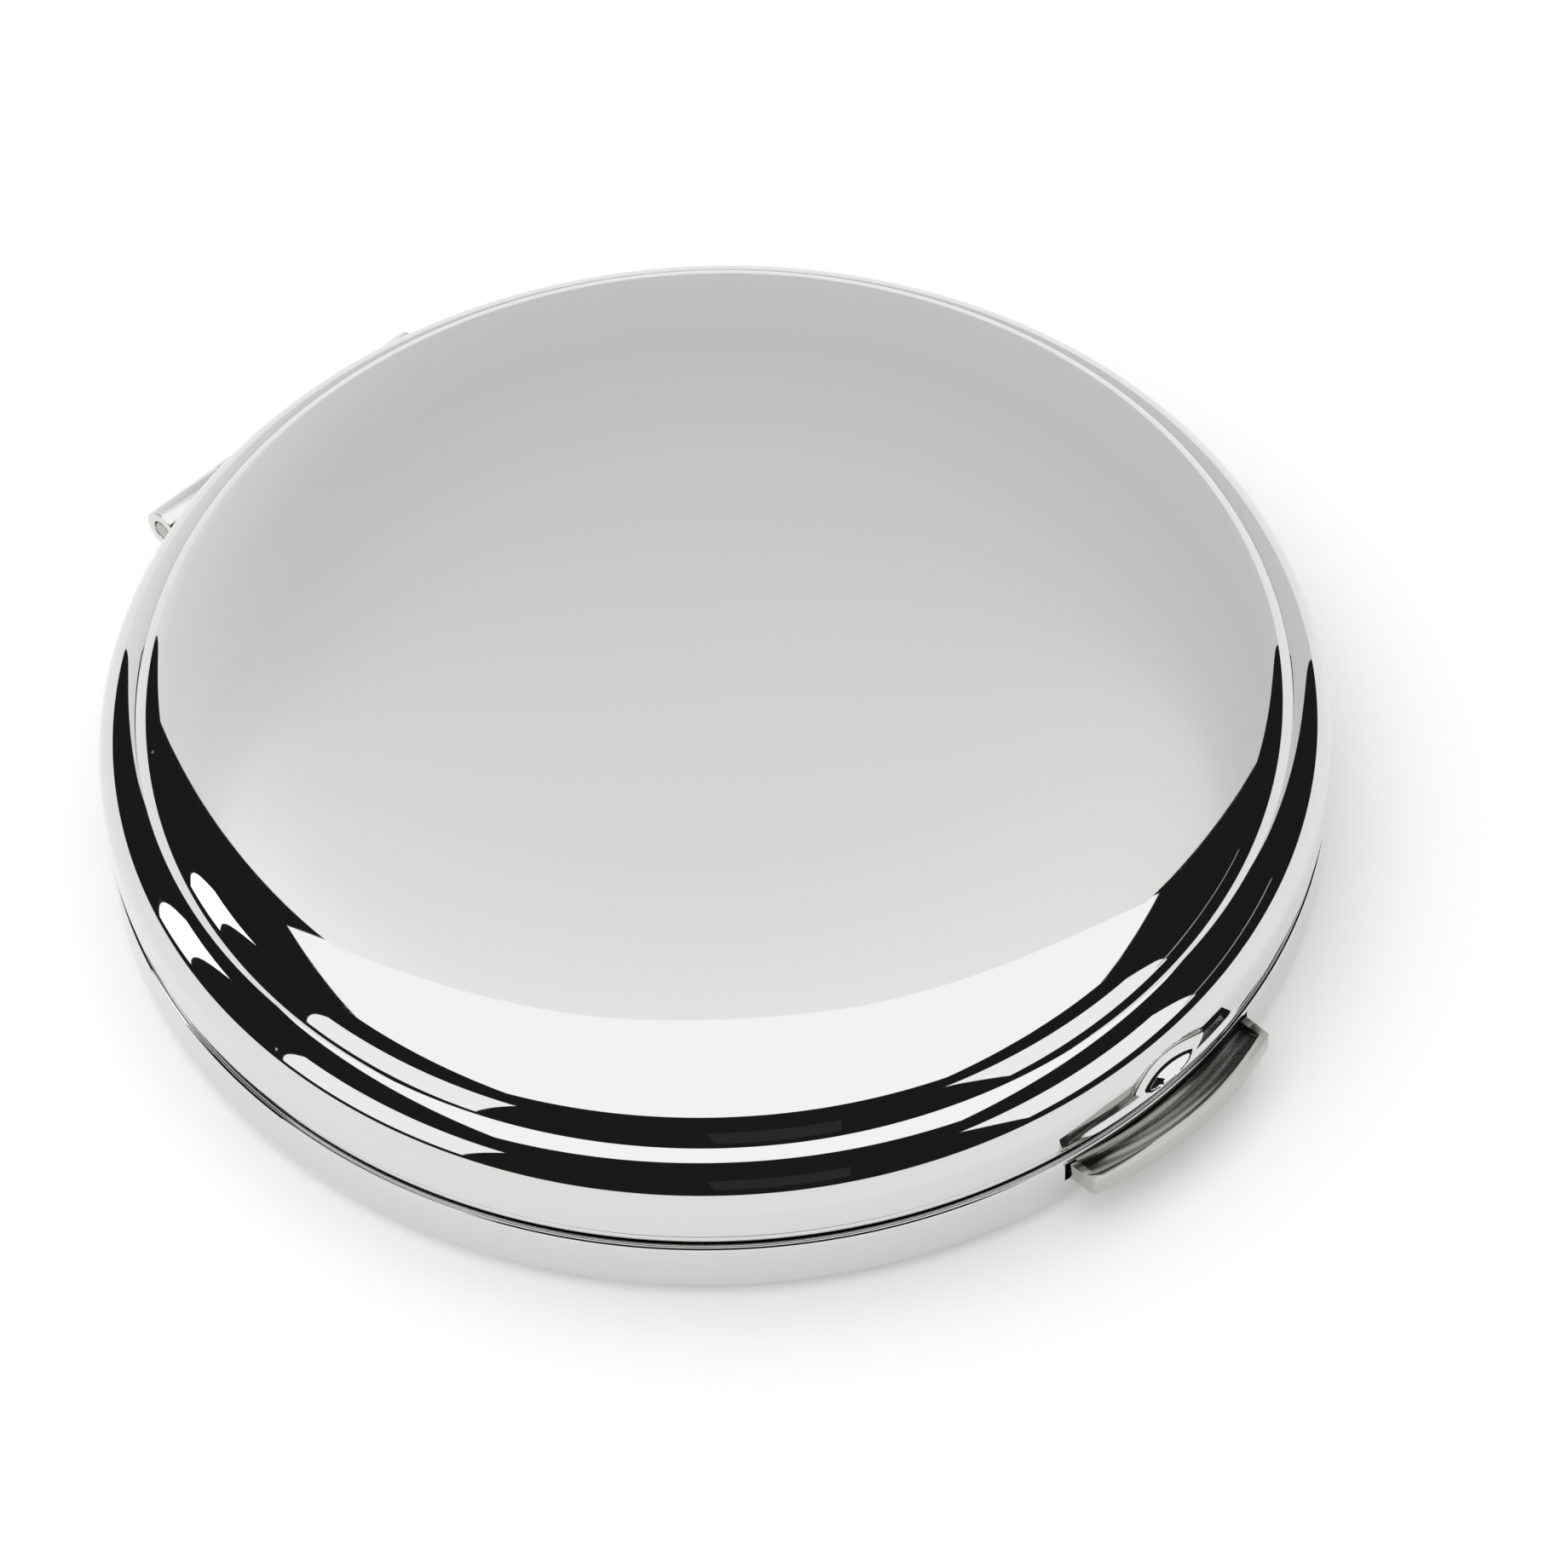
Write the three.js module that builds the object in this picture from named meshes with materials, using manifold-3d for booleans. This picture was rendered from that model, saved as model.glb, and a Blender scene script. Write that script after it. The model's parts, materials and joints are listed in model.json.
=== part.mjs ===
// Round chrome-plated pill box with a barrel hinge and a push catch.
// Millimetres, +Z up. The origin is the centre of the flat underside, the hinge is at +Y
// and the thumb catch at -Y. The box is modelled closed.

import * as THREE from 'three';
import * as BufferGeometryUtils from 'three/addons/utils/BufferGeometryUtils.js';
import Module from 'manifold-3d';

const wasm = await Module();
wasm.setup();

// Driving dimensions of the case
const LID_RADIUS = 30;
const BASE_RADIUS = 29.95;
const SHEET = 0.6; // wall thickness of the two stampings
const BASE_TOP = 3.75; // upper edge of the base wall
const SEAM_TOP = 4.7; // lower edge of the lid skirt
const TOTAL_HEIGHT = 11.5;
const AROUND = 60; // facets around every turned piece

// Lid section
const BEAD_START = 6.4; // the skirt is upright up to here
const BEAD_RADIUS = 2.62;
const BEAD_END_ANGLE = 75.5; // degrees, where the bead meets the step in a crease
const STEP_RADIUS = 3.14; // the step curves in from the crease
const STEP_ANGLES = [28.5, 45];
const ROLL_RADIUS = 2.07; // and then more tightly into the disc
const ROLL_ANGLES = [45, 71];

// Hinge
const AXIS_Y = 30.8;
const AXIS_Z = 3.8;
const KNUCKLE_RADIUS = 1.1;
const KNUCKLE_BORE = 0.58;
const PIN_RADIUS = 0.5;
const BARREL_HALF = 8.75;
const LID_KNUCKLE_HALF = 4.3;
const KNUCKLE_GAP = 0.1;
const HINGE_NOTCH_HALF = 9;
const HINGE_NOTCH_LOW = 2.95;
const HINGE_NOTCH_HIGH = 5.1;
const RING_NOTCH_HALF = 9.1;

// Inner rings of the two halves
const RING_INNER = 28.45;
const RING_OUTER = 28.95;
const RING_FOOT = 1.35;
const SEAM_RING_RADIUS = 29.7;
const BASE_RING_TOP = 4.42;
const LID_RING_FOOT = 4.82;
const LID_FLANGE_FOOT = 5.7;
const LID_FLANGE_TOP = 6.1;
const LID_FLANGE_INNER = 24.6;

// Catch
const TAB_HALF = 6.1;
const TAB_FOOT = 2.35;
const TAB_TOP = 3.35;
const SLOT_TOP = 3.45; // a strip of the base wall stays above the slot
const TAB_REACH = 31.85; // furthest point of the finger piece from the centre
const TAB_END_Y = 31.0;
const TAB_FRONT_RADIUS = 20;
const PLATE_HALF = 5.4;
const PLATE_FOOT = 3.15;
const PLATE_TOP = 3.65;
const PLATE_BACK = 25.4;
const WINDOW_HALF = 2.9;
const WINDOW_FRONT = 28.15;
const WINDOW_BACK = 26.0;
const HOUSING_HALF = 6.4;
const HOUSING_FRONT = 27.2;
const HOUSING_BACK = 22.5;
const HOUSING_SHEET = 0.4;
const HOUSING_TOP = 4.35;

// Contents
const TRAY_RADIUS = 27.2;
const TRAY_WALL = 0.8;
const TRAY_FOOT = 0.95;
const TRAY_FLOOR = 1.65;
const TRAY_TOP = 4.9;
const TRAY_FRONT = 22;
const MIRROR_RADIUS = 25.7;
const MIRROR_FACE = 6.3;
const MIRROR_THICKNESS = 1;

const chrome = new THREE.MeshStandardMaterial({ color: 0xd8d9d8, roughness: 0.05, metalness: 1 });
const steel = new THREE.MeshStandardMaterial({ color: 0xb4b4b0, roughness: 0.3, metalness: 1 });
const silvered = new THREE.MeshStandardMaterial({ color: 0xeef0f0, roughness: 0.02, metalness: 1 });
const board = new THREE.MeshStandardMaterial({ color: 0x8a8378, roughness: 0.9, metalness: 0 });
const moulded = new THREE.MeshStandardMaterial({ color: 0xf0efea, roughness: 0.4, metalness: 0 });

const radians = THREE.MathUtils.degToRad;

// Geometry to solid and back, for cuts and joins

function toSolid(geometry) {
  const bare = geometry.clone();
  bare.deleteAttribute('normal');
  bare.deleteAttribute('uv');
  const merged = BufferGeometryUtils.mergeVertices(bare, 1e-5);
  const triangles = [];
  for (let i = 0; i < merged.index.count; i += 3) {
    const corner = [0, 1, 2].map((step) => merged.index.getX(i + step));
    if (new Set(corner).size === 3) triangles.push(...corner);
  }
  return new wasm.Manifold(new wasm.Mesh({
    numProp: 3,
    vertProperties: new Float32Array(merged.attributes.position.array),
    triVerts: new Uint32Array(triangles),
  }));
}

function toGeometry(solid) {
  const mesh = solid.getMesh();
  const geometry = new THREE.BufferGeometry();
  geometry.setAttribute('position', new THREE.BufferAttribute(mesh.vertProperties, 3));
  geometry.setIndex(new THREE.BufferAttribute(mesh.triVerts, 1));
  geometry.computeVertexNormals();
  return geometry;
}

function union(...solids) {
  return solids.reduce((whole, next) => whole.add(next));
}

// A section of [radius, height] points, counter-clockwise, turned around the Z axis
function revolve(section, around = AROUND) {
  const points = section.map(([radius, height]) => new THREE.Vector2(radius, height));
  const onAxis = section[0][0] === 0 && section[section.length - 1][0] === 0;
  if (!onAxis) points.push(points[0].clone());
  return toSolid(new THREE.LatheGeometry(points, around).rotateX(Math.PI / 2));
}

function block([x0, x1], [y0, y1], [z0, z1]) {
  const box = new THREE.BoxGeometry(x1 - x0, y1 - y0, z1 - z0);
  return toSolid(box.translate((x0 + x1) / 2, (y0 + y1) / 2, (z0 + z1) / 2));
}

function disc(radius, z0, z1, around = AROUND) {
  return revolve([[0, z0], [radius, z0], [radius, z1], [0, z1]], around);
}

// An outline in X and Y, raised from z0 to z1
function raise(shape, z0, z1, curveSegments = 16) {
  const options = { depth: z1 - z0, bevelEnabled: false, curveSegments };
  return toSolid(new THREE.ExtrudeGeometry(shape, options).translate(0, 0, z0));
}

// A piece of a ring: angles in degrees from +Y, clockwise seen from above
function ringSector(inner, outer, from, to, z0, z1) {
  const start = radians(90 - to);
  const end = radians(90 - from);
  const shape = new THREE.Shape();
  shape.absarc(0, 0, outer, start, end, false);
  shape.absarc(0, 0, inner, end, start, true);
  shape.closePath();
  return raise(shape, z0, z1, 6);
}

function rodAlongX(radius, x0, x1, y, z, around = 24) {
  const rod = new THREE.CylinderGeometry(radius, radius, x1 - x0, around).rotateZ(Math.PI / 2);
  return toSolid(rod.translate((x0 + x1) / 2, y, z));
}

function arcPoints(centreR, centreZ, radius, fromDegrees, toDegrees, steps) {
  return Array.from({ length: steps + 1 }, (_, i) => {
    const angle = radians(THREE.MathUtils.lerp(fromDegrees, toDegrees, i / steps));
    return [centreR + radius * Math.cos(angle), centreZ + radius * Math.sin(angle)];
  });
}

// The two stampings

function makeBasePan() {
  const corner = 1.4;
  const lip = 0.15;
  const inside = BASE_RADIUS - SHEET;
  const pan = revolve([
    [0, 0],
    ...arcPoints(BASE_RADIUS - corner, corner, corner, -90, 0, 4),
    [BASE_RADIUS, BASE_TOP - lip],
    [BASE_RADIUS - lip, BASE_TOP],
    [inside, BASE_TOP],
    ...arcPoints(BASE_RADIUS - corner, corner, corner - SHEET, 0, -90, 3),
    [0, SHEET],
  ]);
  const hingeNotch = block([-HINGE_NOTCH_HALF, HINGE_NOTCH_HALF], [25, 31], [HINGE_NOTCH_LOW, 5]);
  const slotHalf = TAB_HALF + 0.3;
  const catchSlot = block([-slotHalf, slotHalf], [-31, -27], [TAB_FOOT - 0.2, SLOT_TOP]);
  return pan.subtract(hingeNotch).subtract(catchSlot);
}

// The skin of the lid at a depth below its outside, from the crease to the middle
function discSkin(depth) {
  const [stepFrom, stepTo] = STEP_ANGLES;
  const creaseRadius = LID_RADIUS - BEAD_RADIUS + BEAD_RADIUS * Math.cos(radians(BEAD_END_ANGLE));
  const creaseHeight = BEAD_START + BEAD_RADIUS * Math.sin(radians(BEAD_END_ANGLE));
  const stepR = creaseRadius - STEP_RADIUS * Math.cos(radians(stepFrom));
  const stepZ = creaseHeight - STEP_RADIUS * Math.sin(radians(stepFrom));
  const [turnR, turnZ] = arcPoints(stepR, stepZ, STEP_RADIUS, stepTo, stepTo, 1)[0];
  const rollR = turnR - ROLL_RADIUS * Math.cos(radians(stepTo));
  const rollZ = turnZ - ROLL_RADIUS * Math.sin(radians(stepTo));
  const roll = arcPoints(rollR, rollZ, ROLL_RADIUS - depth, ...ROLL_ANGLES, 2);
  const [brimR, brimZ] = roll[2];
  const rise = TOTAL_HEIGHT - depth - brimZ;
  const slope = Math.tan(radians(90 - ROLL_ANGLES[1]));
  const power = slope * brimR / rise; // the dome leaves the roll at the roll's slope
  const dome = [0.94, 0.87, 0.78, 0.62, 0.35]
    .map((share) => [brimR * share, TOTAL_HEIGHT - depth - rise * share ** power]);
  return [
    ...arcPoints(stepR, stepZ, STEP_RADIUS - depth, stepFrom, stepTo, 2).slice(0, 2),
    ...roll,
    ...dome,
    [0, TOTAL_HEIGHT - depth],
  ];
}

function lidSection() {
  const beadCentre = LID_RADIUS - BEAD_RADIUS;
  return [
    [LID_RADIUS, SEAM_TOP],
    ...arcPoints(beadCentre, BEAD_START, BEAD_RADIUS, 0, BEAD_END_ANGLE, 6).slice(0, 6),
    ...discSkin(0),
    ...discSkin(SHEET).reverse(),
    ...arcPoints(beadCentre, BEAD_START, BEAD_RADIUS - SHEET, BEAD_END_ANGLE, 0, 5),
    [LID_RADIUS - SHEET, SEAM_TOP],
  ];
}

function makeLidShell() {
  const flareReach = LID_RADIUS + 0.3;
  const flare = ringSector(LID_RADIUS - 0.4, flareReach, 169.2, 190.8, SEAM_TOP, SEAM_TOP + 0.22);
  const dimple = new THREE.SphereGeometry(1, 24, 16).scale(3.4, 1.3, 1.6);
  dimple.translate(0, -(LID_RADIUS + 0.88), SEAM_TOP + 1.25);
  const notch = block([-HINGE_NOTCH_HALF, HINGE_NOTCH_HALF], [25, 31], [4, HINGE_NOTCH_HIGH]);
  return revolve(lidSection()).add(flare).subtract(toSolid(dimple)).subtract(notch);
}

// The inner rings

function makeBaseRimRing() {
  const edge = 0.14;
  const shelf = BASE_TOP + 0.13;
  const ring = revolve([
    [RING_INNER, RING_FOOT],
    [RING_OUTER, RING_FOOT],
    [RING_OUTER, shelf],
    [SEAM_RING_RADIUS - edge, shelf],
    [SEAM_RING_RADIUS, shelf + edge],
    [SEAM_RING_RADIUS, BASE_RING_TOP - edge],
    [SEAM_RING_RADIUS - edge, BASE_RING_TOP],
    [RING_INNER, BASE_RING_TOP],
  ]);
  const hingeNotch = block([-RING_NOTCH_HALF, RING_NOTCH_HALF], [24, 31], [0, 6]);
  const catchNotch = block([-6.9, 6.9], [-31, -24], [0, PLATE_TOP + 0.15]);
  return ring.subtract(hingeNotch).subtract(catchNotch);
}

function rivetPlaces() {
  return [[-3.1, -27.1], [3.1, -27.1]];
}

function makeLidRimRing() {
  const ring = revolve([
    [RING_INNER, LID_RING_FOOT],
    [RING_OUTER, LID_RING_FOOT],
    [RING_OUTER, LID_FLANGE_TOP],
    [LID_FLANGE_INNER, LID_FLANGE_TOP],
    [LID_FLANGE_INNER, LID_FLANGE_FOOT],
    [RING_INNER, LID_FLANGE_FOOT],
  ]);
  const notch = block([-RING_NOTCH_HALF, RING_NOTCH_HALF], [24, 31], [4, LID_FLANGE_FOOT - 0.05]);
  const holes = rivetPlaces().map(([x, y]) => upright(0.45, 5.2, 6.6, x, y));
  return holes.reduce((rest, hole) => rest.subtract(hole), ring.subtract(notch));
}

function upright(radius, z0, z1, x, y) {
  const rod = new THREE.CylinderGeometry(radius, radius, z1 - z0, 16).rotateX(Math.PI / 2);
  return toSolid(rod.translate(x, y, (z0 + z1) / 2));
}

// The hinge

function knuckle(x0, x1) {
  const tube = rodAlongX(KNUCKLE_RADIUS, x0, x1, AXIS_Y, AXIS_Z);
  return tube.subtract(rodAlongX(KNUCKLE_BORE, x0 - 1, x1 + 1, AXIS_Y, AXIS_Z));
}

function hingeBore() {
  return rodAlongX(KNUCKLE_BORE, -BARREL_HALF - 1, BARREL_HALF + 1, AXIS_Y, AXIS_Z);
}

function makeBaseHingeLeaf() {
  const inner = LID_KNUCKLE_HALF + KNUCKLE_GAP;
  const strip = ringSector(RING_INNER, RING_OUTER, -17.6, 17.6, RING_FOOT, HINGE_NOTCH_LOW);
  const pieces = [strip];
  for (const side of [-1, 1]) {
    const ends = [side * inner, side * BARREL_HALF].sort((a, b) => a - b);
    const arc = [side * 9.2, side * 17.6].sort((a, b) => a - b);
    pieces.push(ringSector(RING_INNER, RING_OUTER, ...arc, RING_FOOT, 3.5));
    const web = block(ends, [27, AXIS_Y - 0.1], [3.15, 3.5]);
    pieces.push(web.subtract(disc(RING_INNER, 2, 4)));
    pieces.push(knuckle(...ends));
  }
  return union(...pieces).subtract(hingeBore());
}

function makeLidHingeLeaf() {
  const across = [-LID_KNUCKLE_HALF, LID_KNUCKLE_HALF];
  const top = AXIS_Z + KNUCKLE_RADIUS;
  const leaf = block(across, [27.9, AXIS_Y - 0.2], [top - 0.35, top]);
  const riser = block(across, [27.9, 28.3], [top - 0.35, LID_FLANGE_FOOT - 0.1]);
  const foot = block(across, [26.2, 28.3], [LID_FLANGE_FOOT - 0.45, LID_FLANGE_FOOT - 0.1]);
  return union(leaf, riser, foot, knuckle(...across)).subtract(hingeBore());
}

function makeHingePin() {
  const half = BARREL_HALF - 0.05;
  return rodAlongX(PIN_RADIUS, -half, half, AXIS_Y, AXIS_Z);
}

// The catch

function tabOutline() {
  const inner = -28.6;
  const corner = 0.55;
  const bow = Math.asin((TAB_HALF - corner) / TAB_FRONT_RADIUS);
  const centreY = -TAB_REACH + TAB_FRONT_RADIUS;
  const shape = new THREE.Shape();
  shape.moveTo(-TAB_HALF, inner);
  shape.lineTo(-TAB_HALF, -TAB_END_Y + corner);
  shape.absarc(0, centreY, TAB_FRONT_RADIUS, -Math.PI / 2 - bow, -Math.PI / 2 + bow, false);
  shape.lineTo(TAB_HALF, -TAB_END_Y + corner);
  shape.lineTo(TAB_HALF, inner);
  shape.closePath();
  return shape;
}

function makeThumbCatch() {
  const tab = raise(tabOutline(), TAB_FOOT, TAB_TOP, 8);
  const plate = block([-PLATE_HALF, PLATE_HALF], [-28.8, -PLATE_BACK], [PLATE_FOOT, PLATE_TOP]);
  const window = block([-WINDOW_HALF, WINDOW_HALF], [-WINDOW_FRONT, -WINDOW_BACK], [2, 4]);
  const channel = ringSector(30.15, 31.3, 170.2, 189.8, TAB_TOP - 0.4, TAB_TOP + 1);
  return union(tab, plate).subtract(window).subtract(channel);
}

function makeCatchHousing() {
  const along = [-HOUSING_FRONT, -HOUSING_BACK];
  const pieces = [
    block([-HOUSING_HALF, HOUSING_HALF], along, [TRAY_FOOT, TRAY_FOOT + HOUSING_SHEET]),
    block([-HOUSING_HALF, HOUSING_HALF], [-HOUSING_BACK - HOUSING_SHEET, -HOUSING_BACK],
      [TRAY_FOOT, HOUSING_TOP]),
  ];
  for (const side of [-1, 1]) {
    const across = (from, to) => [side * from, side * to].sort((a, b) => a - b);
    pieces.push(block(across(HOUSING_HALF - HOUSING_SHEET, HOUSING_HALF), along, [TRAY_FOOT, HOUSING_TOP]));
    pieces.push(block(across(4.9, HOUSING_HALF), along, [2.55, 2.95]));
    pieces.push(block(across(4.9, HOUSING_HALF), along, [HOUSING_TOP - HOUSING_SHEET, HOUSING_TOP]));
  }
  return union(...pieces);
}

class SpringLine extends THREE.Curve {
  constructor(radius, turns, length) {
    super();
    Object.assign(this, { radius, turns, length });
  }

  getPoint(t, target = new THREE.Vector3()) {
    const angle = 2 * Math.PI * this.turns * t;
    return target.set(this.radius * Math.cos(angle), this.length * t, this.radius * Math.sin(angle));
  }
}

function makeCatchSpring(x) {
  const wire = 0.13;
  const turns = 4;
  const section = new THREE.Shape();
  section.absarc(0, 0, wire, 0, 2 * Math.PI, false);
  const path = new SpringLine(0.6, turns, 1.8);
  const coil = new THREE.ExtrudeGeometry(section, {
    steps: turns * 12, curveSegments: 3, bevelEnabled: false, extrudePath: path,
  });
  return toSolid(coil.translate(x, -PLATE_BACK + 0.3, (PLATE_FOOT + PLATE_TOP) / 2));
}

function makeLidStrike() {
  const foot = block([-4.2, 4.2], [-28.0, -26.3], [5.22, 5.56]);
  const tongue = block([-1.9, 1.9], [-27.15, -26.7], [2.5, 5.3]);
  const nose = block([-1.9, 1.9], [-26.8, -26.1], [2.5, 3.0]);
  const holes = rivetPlaces().map(([x, y]) => upright(0.45, 4.7, 6.2, x, y));
  return holes.reduce((rest, hole) => rest.subtract(hole), union(foot, tongue, nose));
}

function makeStrikeRivet([x, y]) {
  return union(
    upright(0.62, 4.92, 5.15, x, y),
    upright(0.36, 4.92, 6.36, x, y),
    upright(0.62, 6.16, 6.36, x, y),
  );
}

// Contents of the two halves

function trayOutline(inset) {
  const radius = TRAY_RADIUS - inset;
  const front = TRAY_FRONT - inset;
  const flatHalf = Math.acos(front / radius); // half the angle that the flat front takes
  const shape = new THREE.Shape();
  shape.absarc(0, 0, radius, -Math.PI / 2 + flatHalf, 1.5 * Math.PI - flatHalf, false);
  shape.closePath();
  return shape;
}

function makePillTray() {
  const body = raise(trayOutline(0), TRAY_FOOT, TRAY_TOP, 24);
  return body.subtract(raise(trayOutline(TRAY_WALL), TRAY_FLOOR, TRAY_TOP + 1, 24));
}

function makeTrayDivider() {
  const reach = TRAY_RADIUS - TRAY_WALL - 0.35;
  const low = TRAY_FLOOR + 0.15;
  const high = TRAY_TOP - 0.1;
  return union(
    block([-reach, reach], [-0.35, 0.35], [low, high]),
    block([-0.35, 0.35], [-(TRAY_FRONT - TRAY_WALL - 0.2), reach], [low, high]),
    disc(1.1, low, high, 16),
  );
}

function makeMirror() {
  const back = MIRROR_FACE + MIRROR_THICKNESS;
  const bevel = 0.15;
  return revolve([
    [0, MIRROR_FACE],
    [MIRROR_RADIUS - bevel, MIRROR_FACE],
    [MIRROR_RADIUS, MIRROR_FACE + bevel],
    [MIRROR_RADIUS, back],
    [0, back],
  ]);
}

function makeMirrorPad() {
  const foot = MIRROR_FACE + MIRROR_THICKNESS + 0.15;
  return disc(MIRROR_RADIUS - 0.6, foot, foot + 0.7);
}

// The assembly: the lid and the catch each have a group of their own

function add(group, name, solid, material) {
  const mesh = new THREE.Mesh(toGeometry(solid), material);
  mesh.name = name;
  group.add(mesh);
}

function buildBase() {
  const base = new THREE.Group();
  add(base, 'base_pan', makeBasePan(), chrome);
  add(base, 'base_rim_ring', makeBaseRimRing(), chrome);
  add(base, 'base_hinge_leaf', makeBaseHingeLeaf(), chrome);
  add(base, 'hinge_pin', makeHingePin(), steel);
  add(base, 'catch_housing', makeCatchHousing(), steel);
  add(base, 'catch_spring_left', makeCatchSpring(-3.9), steel);
  add(base, 'catch_spring_right', makeCatchSpring(3.9), steel);
  add(base, 'pill_tray', makePillTray(), moulded);
  add(base, 'tray_divider', makeTrayDivider(), moulded);
  return base;
}

function buildCatch() {
  const latch = new THREE.Group();
  add(latch, 'thumb_catch', makeThumbCatch(), chrome);
  return latch;
}

function buildLid() {
  const lid = new THREE.Group();
  const [left, right] = rivetPlaces();
  add(lid, 'lid_shell', makeLidShell(), chrome);
  add(lid, 'lid_rim_ring', makeLidRimRing(), chrome);
  add(lid, 'lid_hinge_leaf', makeLidHingeLeaf(), chrome);
  add(lid, 'mirror', makeMirror(), silvered);
  add(lid, 'mirror_pad', makeMirrorPad(), board);
  add(lid, 'lid_strike', makeLidStrike(), steel);
  add(lid, 'strike_rivet_left', makeStrikeRivet(left), steel);
  add(lid, 'strike_rivet_right', makeStrikeRivet(right), steel);
  return lid;
}

const pillBox = new THREE.Group();
pillBox.add(buildBase(), buildCatch(), buildLid());

export default pillBox;
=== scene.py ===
"""Round chrome-plated pill box: visible pieces, finishes, studio and camera.

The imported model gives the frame, the bodies and the joints. Every piece below is built in
millimetres in that frame, finished, and rides on the body it belongs to.
"""

import json
import logging
import math
from dataclasses import dataclass, field
from enum import Enum

import bmesh
import bpy
from bmesh.types import BMesh
from bpy.types import Material, Node, NodeSocket, NodeTree, Object
from mathutils import Matrix, Vector


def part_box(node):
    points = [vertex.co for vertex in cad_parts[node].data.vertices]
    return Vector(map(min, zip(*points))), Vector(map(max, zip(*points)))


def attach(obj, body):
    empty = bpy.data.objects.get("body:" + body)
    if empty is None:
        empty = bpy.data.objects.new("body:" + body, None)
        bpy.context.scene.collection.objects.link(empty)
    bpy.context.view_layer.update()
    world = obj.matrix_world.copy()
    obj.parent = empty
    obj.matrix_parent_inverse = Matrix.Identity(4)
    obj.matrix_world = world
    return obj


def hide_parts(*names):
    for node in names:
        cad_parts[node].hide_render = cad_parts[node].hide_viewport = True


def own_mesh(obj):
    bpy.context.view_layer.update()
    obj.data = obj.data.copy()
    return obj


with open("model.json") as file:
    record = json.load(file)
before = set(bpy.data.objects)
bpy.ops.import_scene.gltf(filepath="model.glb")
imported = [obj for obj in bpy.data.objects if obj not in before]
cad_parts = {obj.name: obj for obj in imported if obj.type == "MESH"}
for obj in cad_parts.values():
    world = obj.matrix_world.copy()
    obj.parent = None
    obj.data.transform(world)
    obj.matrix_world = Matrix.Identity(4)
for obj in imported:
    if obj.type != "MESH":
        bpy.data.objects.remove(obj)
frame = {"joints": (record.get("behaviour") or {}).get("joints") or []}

MM = 0.001
RING_INNER, RING_OUTER = 28.45, 28.95  # radii of the inner rings of both halves, in mm
RIVET_HOLE = 0.45  # radius in mm
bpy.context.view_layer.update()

log = logging.getLogger("pill_box")

Point = tuple[float, float]
Range = tuple[float, float]


class Body(Enum):
    """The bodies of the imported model."""

    BASE = "base"
    LID = "lid"
    CATCH = "catch"


class Slot(Enum):
    """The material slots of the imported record."""

    CHROME = "polished_chrome"
    STEEL = "spring_steel"
    MIRROR = "mirror_glass"
    BOARD = "backing_board"
    PLASTIC = "moulded_plastic"


# ---------------------------------------------------------------- frame sizes


def low_mm(node: str) -> Vector:
    """Lowest corner of a CAD node in millimetres."""
    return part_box(node)[0] / MM


def high_mm(node: str) -> Vector:
    """Highest corner of a CAD node in millimetres."""
    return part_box(node)[1] / MM


def corners_mm(node: str) -> tuple[Vector, Vector]:
    """Lowest and highest corner of a CAD node in millimetres."""
    return low_mm(node), high_mm(node)


def joint_of(name: str) -> dict:
    """A joint of the frame by its name."""
    return next(joint for joint in frame["joints"] if joint["name"] == name)


# ---------------------------------------------------------------- mesh helpers


def arc(centre: Point, radius: float, start: float, end: float, steps: int) -> list[Point]:
    """Points on an arc of a section.

    Args:
        centre: radius and height of the arc's centre.
        radius: radius of the arc.
        start: first angle in degrees, 0 pointing away from the axis and 90 up.
        end: last angle in degrees.
        steps: number of straight steps.

    Returns:
        The points from start to end, both included.
    """
    angles = [math.radians(start + (end - start) * i / steps) for i in range(steps + 1)]
    return [(centre[0] + radius * math.cos(a), centre[1] + radius * math.sin(a)) for a in angles]


def section_loop(bm: BMesh, section: list[Point]) -> list:
    """Puts a section of radius and height points into the XZ plane as edges.

    Args:
        bm: the mesh that gets the section.
        section: the outline. It closes on itself unless both ends lie on the axis.

    Returns:
        The new vertices and edges.
    """
    verts = [bm.verts.new((radius, 0.0, height)) for radius, height in section]
    edges = [bm.edges.new(pair) for pair in zip(verts, verts[1:])]
    if section[0][0] > 0 or section[-1][0] > 0:
        edges.append(bm.edges.new((verts[-1], verts[0])))
    return verts + edges


def tidy(bm: BMesh) -> BMesh:
    """Merges doubled vertices and turns the faces outwards."""
    bmesh.ops.remove_doubles(bm, verts=bm.verts, dist=1e-4)
    bmesh.ops.recalc_face_normals(bm, faces=bm.faces)
    return bm


def spin(bm: BMesh, geometry: list, degrees: float, steps: int, merge: bool = False) -> list:
    """Turns vertices and edges about the Z axis, with the faces that they pass through.

    Args:
        bm: the mesh that they are in.
        geometry: the vertices and edges.
        degrees: angle of the turn.
        steps: number of facets.
        merge: whether the end meets the start.

    Returns:
        The vertices and edges at the end of the turn.
    """
    made = bmesh.ops.spin(
        bm, geom=geometry, cent=(0, 0, 0), axis=(0, 0, 1), dvec=(0, 0, 0),
        angle=math.radians(degrees), steps=steps, use_merge=merge, use_duplicate=False,
    )
    return made["geom_last"]


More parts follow.
